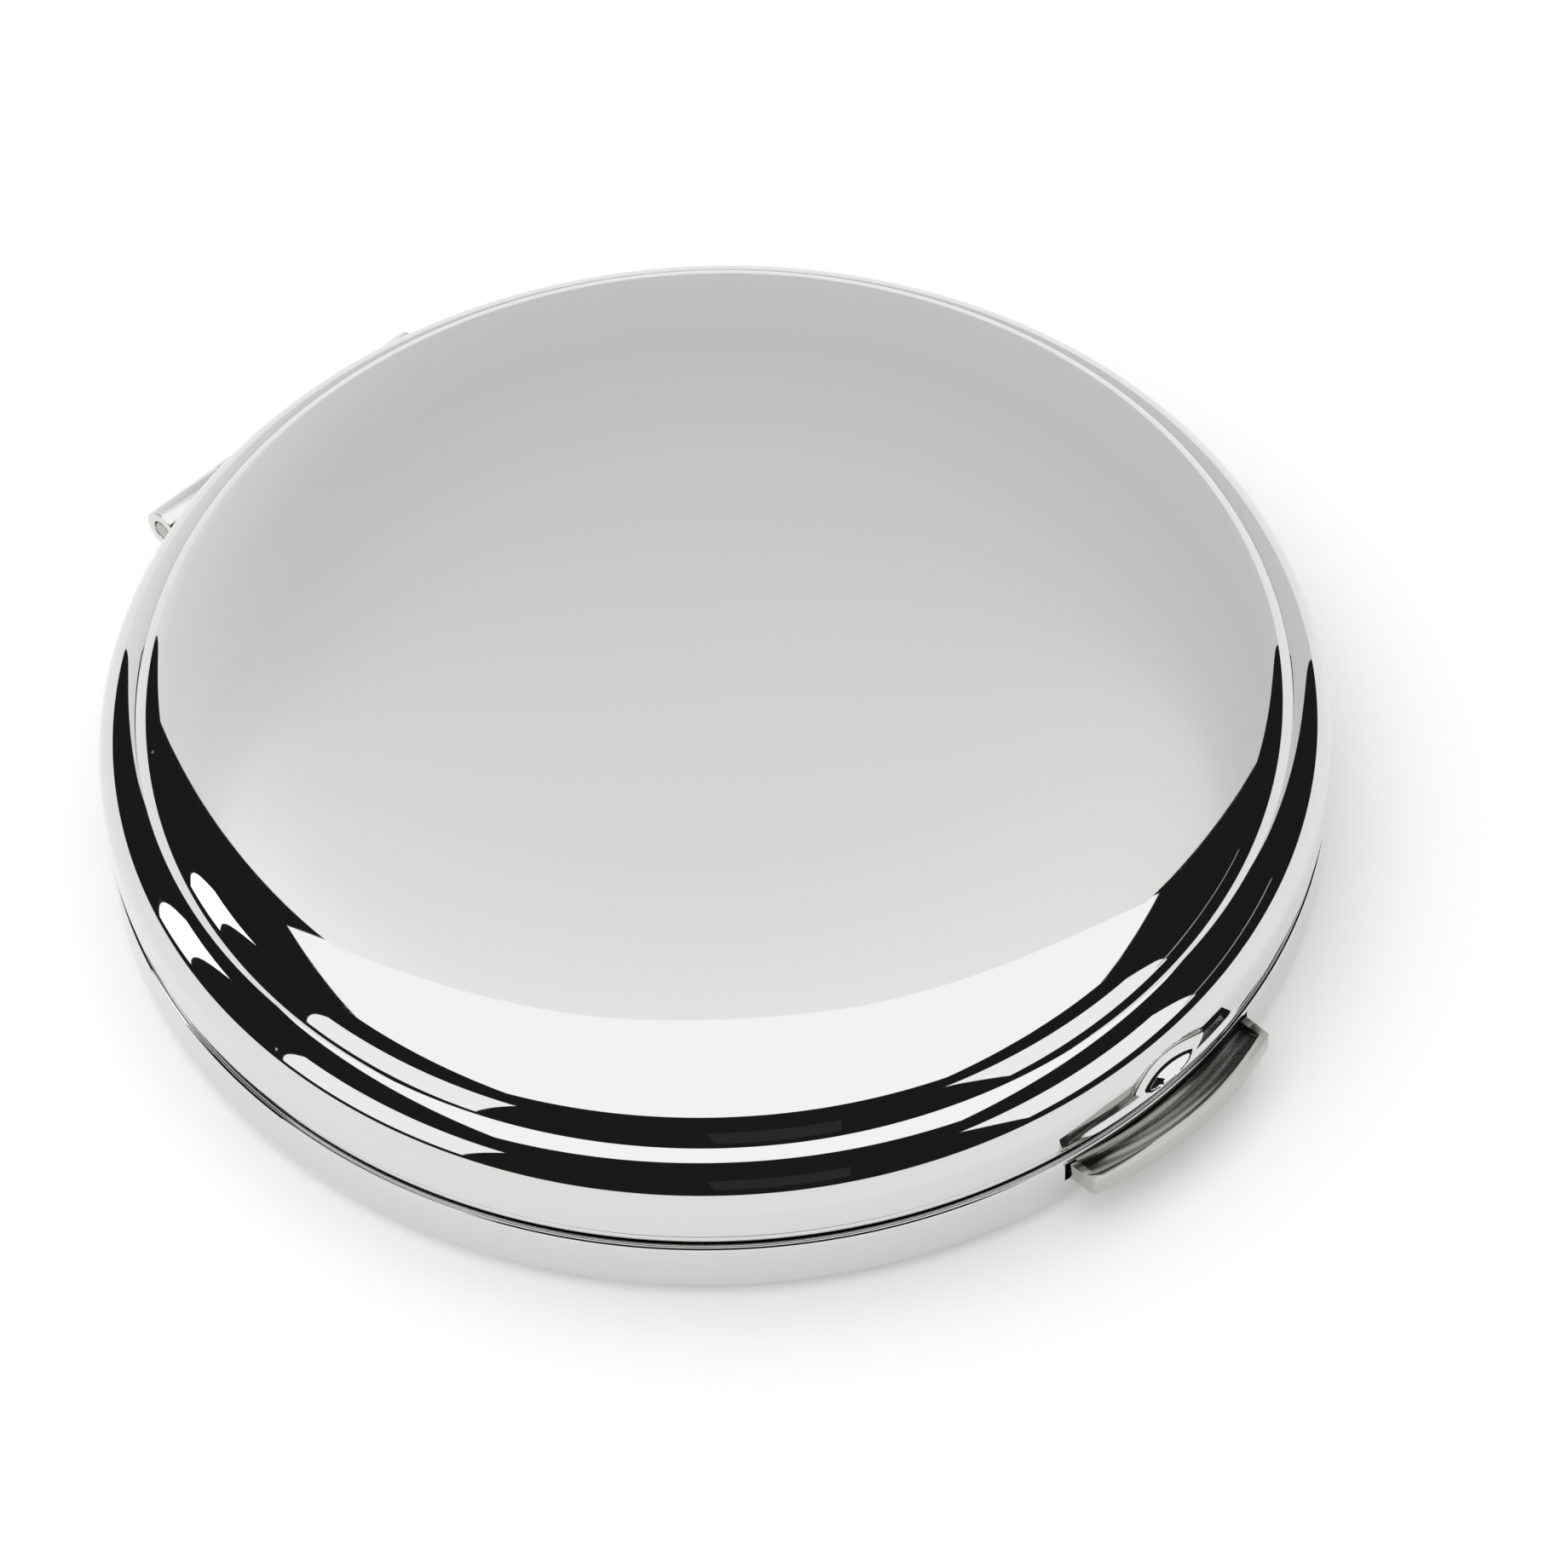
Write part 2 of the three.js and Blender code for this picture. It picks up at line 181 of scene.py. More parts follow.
def turned(
    section: list[Point], steps: int = 288, fine: tuple[float, float, int] | None = None
) -> BMesh:
    """A closed solid of revolution about the Z axis.

    Args:
        section: outline of radius and height points.
        steps: number of facets around.
        fine: a sector that gets facets of its own: its middle in degrees from +X, half of
            its angle in degrees, and its number of facets.

    Returns:
        The mesh.
    """
    middle, half, facets = fine or (0.0, 0.0, 0)
    bm = bmesh.new()
    geometry = section_loop(bm, section)
    if fine:
        turn_to(bm, middle + half)
    around = 360 - 2 * half
    last = spin(bm, geometry, around, round(steps * around / 360), merge=not fine)
    if fine:
        spin(bm, last, 2 * half, facets)
    return tidy(bm)


def turn_to(bm: BMesh, degrees: float) -> None:
    """Turns a mesh about the Z axis."""
    turn = Matrix.Rotation(math.radians(degrees), 4, "Z")
    bmesh.ops.transform(bm, matrix=turn, verts=bm.verts)


def swept(
    section: list[Point], middle: float, half: float, steps: int, axis_y: float = 0.0
) -> BMesh:
    """Part of a ring: a section turned about an upright axis over a limited angle and capped.

    Args:
        section: closed outline of radius and height points.
        middle: direction of the middle of the piece in degrees from +X.
        half: half of the angle that it takes, in degrees.
        steps: number of facets.
        axis_y: Y of the axis.

    Returns:
        The mesh.
    """
    bm = bmesh.new()
    geometry = section_loop(bm, section)
    turn_to(bm, middle - half)
    spin(bm, geometry, 2 * half, steps)
    bmesh.ops.holes_fill(bm, edges=bm.edges, sides=0)
    bmesh.ops.translate(bm, vec=(0, axis_y, 0), verts=bm.verts)
    return tidy(bm)


def bevel_edges(bm: BMesh, width: float, segments: int, above: float = 30) -> None:
    """Rounds the edges of a mesh that are sharper than an angle.

    Args:
        bm: the mesh.
        width: width of the rounding.
        segments: facets across it.
        above: smallest angle between two faces that counts as an edge, in degrees.
    """
    sharp = [e for e in bm.edges if e.is_manifold and e.calc_face_angle() > math.radians(above)]
    bmesh.ops.bevel(
        bm, geom=sharp, offset=width, offset_type="OFFSET", segments=segments, profile=0.5,
        affect="EDGES", clamp_overlap=True, material=-1,
    )


def drag(bm: BMesh, faces: list, offset: tuple[float, float, float], keep: bool = False) -> None:
    """Extrudes faces and moves the new ones.

    Args:
        bm: the mesh that they are in.
        faces: the faces.
        offset: how far the new faces move.
        keep: whether the old faces stay.
    """
    raised = bmesh.ops.extrude_face_region(bm, geom=faces, use_keep_orig=keep)
    verts = [g for g in raised["geom"] if isinstance(g, bmesh.types.BMVert)]
    bmesh.ops.translate(bm, vec=offset, verts=verts)


def block(x: Range, y: Range, z: Range, rounding: float = 0.0) -> BMesh:
    """A box between two corners, with rounded edges if asked.

    Args:
        x: lowest and highest X.
        y: lowest and highest Y.
        z: lowest and highest Z.
        rounding: width of the edge rounding.

    Returns:
        The mesh.
    """
    bm = bmesh.new()
    size = Vector((x[1] - x[0], y[1] - y[0], z[1] - z[0]))
    middle = Vector((sum(x) / 2, sum(y) / 2, sum(z) / 2))
    bmesh.ops.create_cube(bm, size=1, matrix=Matrix.LocRotScale(middle, None, size))
    if rounding:
        bevel_edges(bm, rounding, 3)
    return tidy(bm)


def rod(radius: float, ends: Range, centre: Point, rounding: float = 0.0) -> BMesh:
    """A round bar along the X axis.

    Args:
        radius: radius of the bar.
        ends: lowest and highest X.
        centre: Y and Z of its axis.
        rounding: width of the rounding at its ends.

    Returns:
        The mesh.
    """
    bm = bmesh.new()
    along = Matrix.Rotation(math.pi / 2, 4, "Y")
    place = Matrix.Translation((sum(ends) / 2, centre[0], centre[1]))
    bmesh.ops.create_cone(
        bm, cap_ends=True, cap_tris=False, segments=64, radius1=radius, radius2=radius,
        depth=ends[1] - ends[0], matrix=place @ along,
    )
    if rounding:
        bevel_edges(bm, rounding, 4, above=60)
    return tidy(bm)


def stub(radius: float, x: float, y: float, z: Range, around: int = 48) -> BMesh:
    """A round bar along the Z axis at a place in X and Y."""
    bm = bmesh.new()
    place = Matrix.Translation((x, y, sum(z) / 2))
    bmesh.ops.create_cone(
        bm, cap_ends=True, cap_tris=False, segments=around, radius1=radius, radius2=radius,
        depth=z[1] - z[0], matrix=place,
    )
    return tidy(bm)


def scratch_object(name: str, bm: BMesh) -> Object:
    """Puts a mesh into a temporary object and frees the bmesh."""
    mesh = bpy.data.meshes.new(name)
    bm.to_mesh(mesh)
    bm.free()
    made = bpy.data.objects.new(name, mesh)
    bpy.context.scene.collection.objects.link(made)
    return made


def combine(body: BMesh, tools: list[BMesh], operation: str) -> BMesh:
    """Cuts tools out of a mesh, or joins them to it.

    Args:
        body: the mesh to change. It is used up, as the tools are.
        tools: the meshes to cut with or to add.
        operation: DIFFERENCE, UNION or INTERSECT.

    Returns:
        The new mesh.
    """
    base = scratch_object("work_body", body)
    others = [scratch_object(f"work_tool_{i}", tool) for i, tool in enumerate(tools)]
    for other in others:
        step = base.modifiers.new("cut", "BOOLEAN")
        step.operation = operation
        step.object = other
        step.solver = "EXACT"
    bpy.context.view_layer.update()
    result = bmesh.new()
    result.from_object(base, bpy.context.evaluated_depsgraph_get())
    for used in [base, *others]:
        mesh = used.data
        bpy.data.objects.remove(used)
        bpy.data.meshes.remove(mesh)
    return tidy(result)


def shared(body: BMesh, *tools: BMesh) -> BMesh:
    """What the mesh shares with every one of the tools."""
    return combine(body, list(tools), "INTERSECT")


def cut(body: BMesh, *tools: BMesh) -> BMesh:
    """The mesh with the tools cut out of it."""
    return combine(body, list(tools), "DIFFERENCE")


def join(body: BMesh, *tools: BMesh) -> BMesh:
    """The mesh with the tools joined to it."""
    return combine(body, list(tools), "UNION")


def finish_piece(
    bm: BMesh,
    name: str,
    material: Material,
    body: Body,
    slot: Slot,
    nodes: tuple[str, ...],
    smooth_below: float = 32,
) -> Object:
    """Makes a mesh in millimetres into a finished piece of the object.

    Args:
        bm: the mesh. It is freed.
        name: name of the piece.
        material: its finish.
        body: the body that it moves with.
        slot: the record's material slot. It is not used.
        nodes: the CAD nodes that it stands for.
        smooth_below: edges flatter than this angle in degrees are shaded smooth.

    Returns:
        The piece.
    """
    bmesh.ops.scale(bm, vec=(MM, MM, MM), verts=bm.verts)
    for face in bm.faces:
        face.smooth = True
    piece = scratch_object(name, bm)
    piece.data.set_sharp_from_angle(angle=math.radians(smooth_below))
    piece.data.materials.append(material)
    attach(piece, body.value)
    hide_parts(*nodes)
    log.info("%s: %d faces on %s", name, len(piece.data.polygons), body.value)
    return piece


# ---------------------------------------------------------------- finishes


def linear(colour: str) -> tuple[float, float, float, float]:
    """An sRGB hex colour as linear RGBA.

    Args:
        colour: six hex digits.

    Returns:
        Linear red, green, blue and an alpha of 1.
    """
    channels = [int(colour[i:i + 2], 16) / 255 for i in (0, 2, 4)]
    curve = [c / 12.92 if c <= 0.04045 else ((c + 0.055) / 1.055) ** 2.4 for c in channels]
    return (curve[0], curve[1], curve[2], 1.0)


def add_node(
    tree: NodeTree, kind: str, settings: dict | None = None, links: dict | None = None
) -> Node:
    """Adds a shader node with its settings, input values and links.

    Args:
        tree: the node tree.
        kind: type of the node.
        settings: attributes of the node, or values of its input sockets by name.
        links: output sockets by the name of the input that they feed.

    Returns:
        The node.
    """
    made = tree.nodes.new(kind)
    for key, value in (settings or {}).items():
        if key in made.inputs:
            made.inputs[key].default_value = value
        else:
            setattr(made, key, value)
    for key, output in (links or {}).items():
        tree.links.new(output, made.inputs[key])
    return made


def blank_material(name: str) -> tuple[Material, NodeTree]:
    """An empty node material and its tree."""
    material = bpy.data.materials.new(name)
    material.use_nodes = True
    material.node_tree.nodes.clear()
    return material, material.node_tree


def close_material(
    material: Material, shader: str, settings: dict | None = None, links: dict | None = None
) -> Material:
    """Adds the last shader of a material and links it to the output.

    Args:
        material: the material.
        shader: type of the shader node.
        settings: values of its inputs.
        links: output sockets by the name of the input that they feed.

    Returns:
        The same material.
    """
    made = add_node(material.node_tree, shader, settings, links)
    add_node(material.node_tree, "ShaderNodeOutputMaterial", links={"Surface": made.outputs[0]})
    return material


def object_place(tree: NodeTree) -> NodeSocket:
    """The place on the piece, in metres in the shared frame."""
    return add_node(tree, "ShaderNodeTexCoord").outputs["Object"]


def mapped(tree: NodeTree, place: NodeSocket, settings: dict) -> NodeSocket:
    """A place that is turned or scaled before a pattern reads it."""
    return add_node(tree, "ShaderNodeMapping", settings, {"Vector": place}).outputs[0]


def per_metre(size_mm: float) -> float:
    """The scale of a pattern on Object coordinates whose repeat has a size in millimetres."""
    return 1.0 / (size_mm * MM)


def noise(
    tree: NodeTree, place: NodeSocket, size_mm: float, detail: float, **more: float
) -> NodeSocket:
    """A cloudy pattern.

    Args:
        tree: the node tree.
        place: the coordinates that it reads.
        size_mm: size of its largest clouds in millimetres.
        detail: how many finer layers it has.
        more: further inputs of the texture.

    Returns:
        The pattern, from 0 to 1.
    """
    settings = {"Scale": per_metre(size_mm), "Detail": detail, **more}
    return add_node(tree, "ShaderNodeTexNoise", settings, {"Vector": place}).outputs["Fac"]


def remap(
    tree: NodeTree, value: NodeSocket, source: Range, target: Range, **more: str
) -> NodeSocket:
    """Stretches a value from one range to another.

    Args:
        tree: the node tree.
        value: the value to stretch.
        source: the range that it has.
        target: the range that it gets.
        more: further settings of the node.

    Returns:
        The stretched value, kept inside the new range.
    """
    settings = dict(zip(("From Min", "From Max", "To Min", "To Max"), (*source, *target)))
    made = add_node(tree, "ShaderNodeMapRange", {**more, **settings}, {"Value": value})
    return made.outputs[0]


def relief(tree: NodeTree, height: NodeSocket, strength: float, depth_mm: float) -> NodeSocket:
    """A normal that a pattern of real depth in millimetres has bumped."""
    settings = {"Strength": strength, "Distance": depth_mm * MM}
    return add_node(tree, "ShaderNodeBump", settings, {"Height": height}).outputs[0]


def mixed_colour(tree: NodeTree, factor: NodeSocket, low: str, high: str) -> NodeSocket:
    """A colour between two sRGB hex colours.

    Args:
        tree: the node tree.
        factor: 0 for the first colour and 1 for the second.
        low: the first colour.
        high: the second colour.

    Returns:
        The colour.
    """
    made = add_node(tree, "ShaderNodeMix", {"data_type": "RGBA"}, {"Factor": factor})
    made.inputs[6].default_value = linear(low)
    made.inputs[7].default_value = linear(high)
    return made.outputs[2]


@dataclass(frozen=True)
class ChromePlate:
    """Bright chrome electroplated on buffed brass: a near perfect mirror.

    The buffing leaves the surface very slightly wavy, and handling leaves hairlines and a
    few specks of dust.
    """

    name: str = "bright_chrome_plate"
    colour: str = "DCDCDA"
    roughness: float = 0.018
    haze: float = 0.03  # extra roughness where the plating is rubbed
    rub_mm: float = 6.0
    hairline_mm: float = 3.0  # length of the hairlines along X
    wave_mm: float = 9.0
    wave_height_mm: float = 0.006
    speck_mm: float = 7.0  # distance between specks of dust

    def build(self) -> Material:
        """Builds the material."""
        material, tree = blank_material(self.name)
        place = object_place(tree)
        rubbed = noise(tree, place, self.rub_mm, 4.0, Roughness=0.6)
        hair_space = mapped(tree, place, {"Scale": (1.0, 14.0, 14.0)})
        hairlines = noise(tree, hair_space, self.hairline_mm, 5.0)
        blend = add_node(
            tree, "ShaderNodeMath", {"operation": "MULTIPLY"}, {0: rubbed, 1: hairlines}
        )
        polish = remap(
            tree, blend.outputs[0], (0.22, 0.5), (self.roughness, self.roughness + self.haze)
        )
        specks = add_node(
            tree, "ShaderNodeTexVoronoi", {"Scale": per_metre(self.speck_mm)}, {"Vector": place}
        )
        dust = remap(tree, specks.outputs["Distance"], (0.012, 0.02), (0.35, 0.0))
        dusty = add_node(tree, "ShaderNodeMath", {"operation": "ADD"}, {0: polish, 1: dust})
        waves = noise(tree, place, self.wave_mm, 0.0)
        return close_material(
            material, "ShaderNodeBsdfPrincipled",
            {"Base Color": linear(self.colour), "Metallic": 1.0},
            {"Roughness": dusty.outputs[0],
             "Normal": relief(tree, waves, 1.0, self.wave_height_mm)},
        )


@dataclass(frozen=True)
class RolledSteel:
    """Cold rolled spring steel: satin, with the fine lines of the rolls along X."""

    name: str = "rolled_spring_steel"
    colour: str = "B9B7B2"
    roughness: float = 0.27
    line_mm: float = 0.12
    line_depth_mm: float = 0.004

    def build(self) -> Material:
        """Builds the material."""
        material, tree = blank_material(self.name)
        along = mapped(tree, object_place(tree), {"Scale": (0.06, 1.0, 1.0)})
        lines = noise(tree, along, self.line_mm, 3.0)
        satin = remap(tree, lines, (0.3, 0.7), (self.roughness - 0.07, self.roughness + 0.1))
        return close_material(
            material, "ShaderNodeBsdfPrincipled",
            {"Base Color": linear(self.colour), "Metallic": 1.0},
            {"Roughness": satin, "Normal": relief(tree, lines, 0.35, self.line_depth_mm)},
        )


@dataclass(frozen=True)
class SilveredGlass:
    """Float glass silvered at the back: brighter and flatter than the chrome, faintly green."""

    name: str = "silvered_float_glass"
    colour: str = "EEF2F0"
    clean: float = 0.004
    smear: float = 0.02
    smear_mm: float = 11.0

    def build(self) -> Material:
        """Builds the material."""
        material, tree = blank_material(self.name)
        smears = noise(tree, object_place(tree), self.smear_mm, 5.0)
        return close_material(
            material, "ShaderNodeBsdfPrincipled",
            {"Base Color": linear(self.colour), "Metallic": 1.0, "Coat Weight": 0.6,
             "Coat Roughness": 0.01, "Coat IOR": 1.52},
            {"Roughness": remap(tree, smears, (0.45, 0.75), (self.clean, self.smear))},
        )


@dataclass(frozen=True)
class GreyBoard:
    """Grey pasteboard: matt, with loose fibres that show as flecks."""

    name: str = "grey_pasteboard"
    dark: str = "7E776B"
    light: str = "A49D90"
    fibre_mm: float = 0.25
    fibre_depth_mm: float = 0.03

    def build(self) -> Material:
        """Builds the material."""
        material, tree = blank_material(self.name)
        fibres = noise(tree, object_place(tree), self.fibre_mm, 6.0, Distortion=1.5)
        return close_material(
            material, "ShaderNodeBsdfPrincipled", {"Roughness": 0.9},
            {"Base Color": mixed_colour(tree, fibres, self.dark, self.light),
             "Normal": relief(tree, fibres, 0.5, self.fibre_depth_mm)},
        )


@dataclass(frozen=True)
class SatinPolypropylene:
    """Injection moulded polypropylene: milky white, with the fine spark texture of the tool."""

    name: str = "satin_polypropylene"
    shade: str = "E7E5DD"
    colour: str = "F1F0EB"
    grain_mm: float = 0.18
    grain_depth_mm: float = 0.01
    flow_mm: float = 9.0  # size of the clouds that the flow in the tool leaves

    def build(self) -> Material:
        """Builds the material."""
        material, tree = blank_material(self.name)
        place = object_place(tree)
        grain = noise(tree, place, self.grain_mm, 2.0)
        flow = noise(tree, place, self.flow_mm, 2.0)
        return close_material(
            material, "ShaderNodeBsdfPrincipled",
            {"IOR": 1.49, "Subsurface Weight": 0.12, "Subsurface Scale": 0.6 * MM},
            {"Base Color": mixed_colour(tree, flow, self.shade, self.colour),
             "Roughness": remap(tree, grain, (0.3, 0.7), (0.36, 0.5)),
             "Normal": relief(tree, grain, 0.3, self.grain_depth_mm)},
        )


@dataclass(frozen=True)
class Finishes:
    """The finishes of the whole box, built once."""

    chrome: Material
    tumbled: Material
    steel: Material
    mirror: Material
    board: Material
    plastic: Material

    @classmethod
    def build(cls) -> "Finishes":
        """Builds every finish."""
        return cls(
            chrome=ChromePlate().build(),
            # small stampings go through the tumbler and are not buffed before plating, so they
            # are softer; their darker colour is painted shade on the catch
            tumbled=ChromePlate(
                name="tumbled_chrome_plate", colour="BEBDB8", roughness=0.15, haze=0.06
            ).build(),
            steel=RolledSteel().build(),
            mirror=SilveredGlass().build(),
            board=GreyBoard().build(),
            plastic=SatinPolypropylene().build(),
        )


# ---------------------------------------------------------------- shared geometry


@dataclass(frozen=True)
class Hinge:
    """The line that the lid turns about, and the barrel around it, in millimetres."""

    axis_y: float
    axis_z: float
    radius: float = 1.1
    bore: float = 0.58
    half: float = 8.75
    lid_half: float = 4.3
    gap: float = 0.1
    notch_half: float = 9.0
    notch_low: float = 2.95
    notch_high: float = 5.1
    ring_notch_half: float = 9.1  # the inner rings are cut back a little further

    @classmethod
    def from_frame(cls) -> "Hinge":
        """Reads the axis from the joint."""
        place = joint_of("lid_hinge")["pos_m"]
        return cls(axis_y=place[1] / MM, axis_z=place[2] / MM)

    @property
    def centre(self) -> Point:
        """Y and Z of the axis."""
        return (self.axis_y, self.axis_z)

    def room(self, half: float, heights: Range) -> BMesh:
        """A block that cuts the room for the barrel out of a wall."""
        return block((-half, half), (24, 31), heights)

    def bore_tool(self) -> BMesh:
        """A bar that cuts the bore through everything on the axis."""
        return rod(self.bore, (-self.half - 1, self.half + 1), self.centre)

    def curl(self, ends: Range, slit_at: float) -> BMesh:
        """A knuckle curled from sheet, with the slit where the sheet's end meets itself.

        Args:
            ends: lowest and highest X.
            slit_at: direction of the slit about the axis, in degrees from +Y.

        Returns:
            The mesh.
        """
        slit = 14.0
        bm = bmesh.new()
        first = Vector((ends[0], self.axis_y + self.bore, self.axis_z))
        last = Vector((ends[0], self.axis_y + self.radius, self.axis_z))
        edge = bm.edges.new((bm.verts.new(first), bm.verts.new(last)))
        axis = Vector((1, 0, 0))
        centre = Vector((0, self.axis_y, self.axis_z))
        turn = Matrix.Rotation(math.radians(slit_at + slit / 2), 3, axis)
        bmesh.ops.rotate(bm, cent=centre, matrix=turn, verts=bm.verts)
        bmesh.ops.spin(
            bm, geom=[*edge.verts, edge], cent=centre, axis=axis, dvec=(0, 0, 0),
            angle=math.radians(360 - slit), steps=56, use_merge=False, use_duplicate=False,
        )
        drag(bm, bm.faces[:], (ends[1] - ends[0], 0, 0))
        tidy(bm)
        bevel_edges(bm, 0.07, 2, above=50)
        return tidy(bm)


@dataclass(frozen=True)
class CatchPlace:
    """Where the catch passes through the case, in millimetres."""

    half: float
    foot: float
    top: float
    reach: float
    play: float = 0.22
    slot_top: float = 3.45  # a strip of the base wall stays above the slot
    ring_notch_half: float = 6.9

    @classmethod
    def from_frame(cls) -> "CatchPlace":
        """Reads the sizes from the thumb catch, whose plate stands above the finger piece."""
        low, high = corners_mm("thumb_catch")
        return cls(half=high.x, foot=low.z, top=high.z - 0.3, reach=-low.y)


# ---------------------------------------------------------------- the lid


@dataclass
class Lid:
    """The lid: stamping, inner ring, mirror, pad, hinge leaf and strike."""

    finishes: Finishes
    hinge: Hinge
    radius: float = field(default_factory=lambda: high_mm("lid_shell").x)
    edge: float = field(default_factory=lambda: low_mm("lid_shell").z)
    top: float = field(default_factory=lambda: high_mm("lid_shell").z)
    sheet: float = 0.6
    bead_start: float = 1.7  # height of the upright skirt
    bead_radius: float = 2.62
    bead_end: float = 75.5  # the bead meets the step here in a crease, in degrees
    step_lean: float = 28.5  # the step starts this far from upright, in degrees
    step_radius: float = 3.14
    roll_radius: float = 2.07
    dome_slope: float = 19.0  # slope of the disc at its edge, in degrees
    flare: float = 0.17  # how far the lip above the catch stands out
    flare_half: float = 11.4  # half of the angle that the lip takes, in degrees
    flare_height: float = 0.45
    flare_fade: float = 3.2  # angle over which each end of the lip fades out, in degrees
    flare_curl: float = 1.5  # above 1 the lip turns out more and more towards its edge
    dimple: Point = (2.45, 1.12)  # half width and half height
    dimple_depth: float = 0.62
    dimple_inner_depth: float = 0.4  # on the inside of the sheet, which the press thins
    dimple_bowl: float = 1.1  # higher makes the rim of the dimple softer
    dimple_height: float = 1.2  # above the lid's lower edge

    def disc(self, depth: float) -> list[Point]:
        """The step and the domed disc, from the crease to the middle.

        Args:
            depth: how far below the outside of the sheet.

        Returns:
            The points.
        """
        end = math.radians(self.bead_end)
        crease = (
            self.radius - self.bead_radius * (1 - math.cos(end)),
            self.edge + self.bead_start + self.bead_radius * math.sin(end),
        )
        start, turn, brim = self.step_lean, 45.0, 90 - self.dome_slope
        centre = arc(crease, -self.step_radius, start, start, 1)[0]
        step = arc(centre, self.step_radius - depth, start, turn, 12)
        corner = arc(centre, self.step_radius, turn, turn, 1)[0]
        centre = arc(corner, -self.roll_radius, turn, turn, 1)[0]
        roll = arc(centre, self.roll_radius - depth, turn, brim, 14)
        reach, height = roll[-1]
        rise = self.top - depth - height
        power = math.tan(math.radians(self.dome_slope)) * reach / rise
        shares = [1 - 0.5 * i / 40 for i in range(1, 41)] + [0.42, 0.33, 0.24, 0.15, 0.07]
        dome = [(reach * s, self.top - depth - rise * s ** power) for s in shares]
        return [*step, *roll[1:], *dome, (0.0, self.top - depth)]

    def section(self) -> list[Point]:
        """The whole section of the stamping, outside and inside."""
        lip = 0.1
        start = self.edge + self.bead_start
        centre = (self.radius - self.bead_radius, start)
        wall = [self.edge + 2 * lip + (self.bead_start - 2 * lip) * i / 16 for i in range(16)]
        inner = self.radius - self.sheet
        return [
            *arc((self.radius - lip, self.edge + lip), lip, -90, 0, 3),
            *[(self.radius, height) for height in wall],
            *arc(centre, self.bead_radius, 0, self.bead_end, 36)[:-1],
            *self.disc(0.0),
            *self.disc(self.sheet)[::-1],
            *arc(centre, self.bead_radius - self.sheet, self.bead_end, 0, 24),
            *[(inner, height) for height in wall[::-1]],
            (inner, self.edge),
        ]

    def press_dimple(self, bm: BMesh) -> None:
        """Presses the thumbnail dimple into both sides of the sheet above the catch."""
        half_width, half_height = self.dimple
        middle = self.edge + self.dimple_height
        for vert in bm.verts:
            x, y, z = vert.co
            if y > 0 or abs(x) > half_width or math.hypot(x, y) < self.radius - 1.5:
                continue
            share = 1 - (x / half_width) ** 2 - ((z - middle) / half_height) ** 2
            if share > 0:
                outside = math.hypot(x, y) > self.radius - self.sheet / 2
                depth = self.dimple_depth if outside else self.dimple_inner_depth
                vert.co.y += depth * share ** self.dimple_bowl

    def flare_lip(self, bm: BMesh) -> None:
        """Turns the lower edge above the catch outwards, fading out at both ends."""
        for vert in bm.verts:
            x, y, z = vert.co
            up = (z - self.edge) / self.flare_height
            aside = abs(math.degrees(math.atan2(x, -y)))
            if y > 0 or up >= 1 or aside >= self.flare_half:
                continue
            ends = min(1.0, (self.flare_half - aside) / self.flare_fade)
            share = (1 - up) ** self.flare_curl * ends * ends * (3 - 2 * ends)
            grow = 1 + self.flare * share / self.radius
            vert.co = (x * grow, y * grow, z)

    def shell(self) -> BMesh:
        """The stamping with its flared lip, thumbnail dimple and hinge notch."""
        body = turned(self.section(), steps=360, fine=(-90, 12, 140))
        self.press_dimple(body)
        self.flare_lip(body)
        return cut(body, self.hinge.room(self.hinge.notch_half, (4, self.hinge.notch_high)))

    def rim_ring(self) -> BMesh:
        """The inner ring whose flange carries the mirror."""
        low, high = corners_mm("lid_rim_ring")
        flange, inner = 5.7, 24.6  # height of the flange's underside, and its inner radius
        edge, bend = 0.12, 0.3
        ring = turned([
            (RING_INNER, low.z + edge),
            (RING_INNER + edge, low.z),
            (RING_OUTER - edge, low.z),
            (RING_OUTER, low.z + edge),
            (RING_OUTER, high.z),
            (inner + edge, high.z),
            *arc((inner + 0.2, (flange + high.z) / 2), 0.2, 90, 270, 8),
            (RING_INNER - bend, flange),
            *arc((RING_INNER - bend, flange - bend), bend, 90, 0, 6),
        ])
        notch = self.hinge.room(self.hinge.ring_notch_half, (4, flange - 0.05))
        holes = [stub(RIVET_HOLE, x, y, (5.2, 6.6)) for x, y in rivet_places()]
        return cut(ring, notch, *holes)

    def mirror(self) -> BMesh:
        """The round mirror with its ground edge."""
        low, high = corners_mm("mirror")
        ground = 0.15
        return turned([
            (0.0, low.z),
            (high.x - 1.6, low.z),
            (high.x - ground, low.z + 0.08),
            (high.x, low.z + 0.25),
            (high.x, high.z - ground),
            (high.x - ground, high.z),
            (0.0, high.z),
        ])

    def pad(self) -> BMesh:
        """The board behind the mirror."""
        low, high = corners_mm("mirror_pad")
        return turned([
            (0.0, low.z),
            (high.x - 0.1, low.z),
            (high.x, low.z + 0.1),
            (high.x, high.z - 0.1),
            (high.x - 0.1, high.z),
            (0.0, high.z),
        ], steps=180)

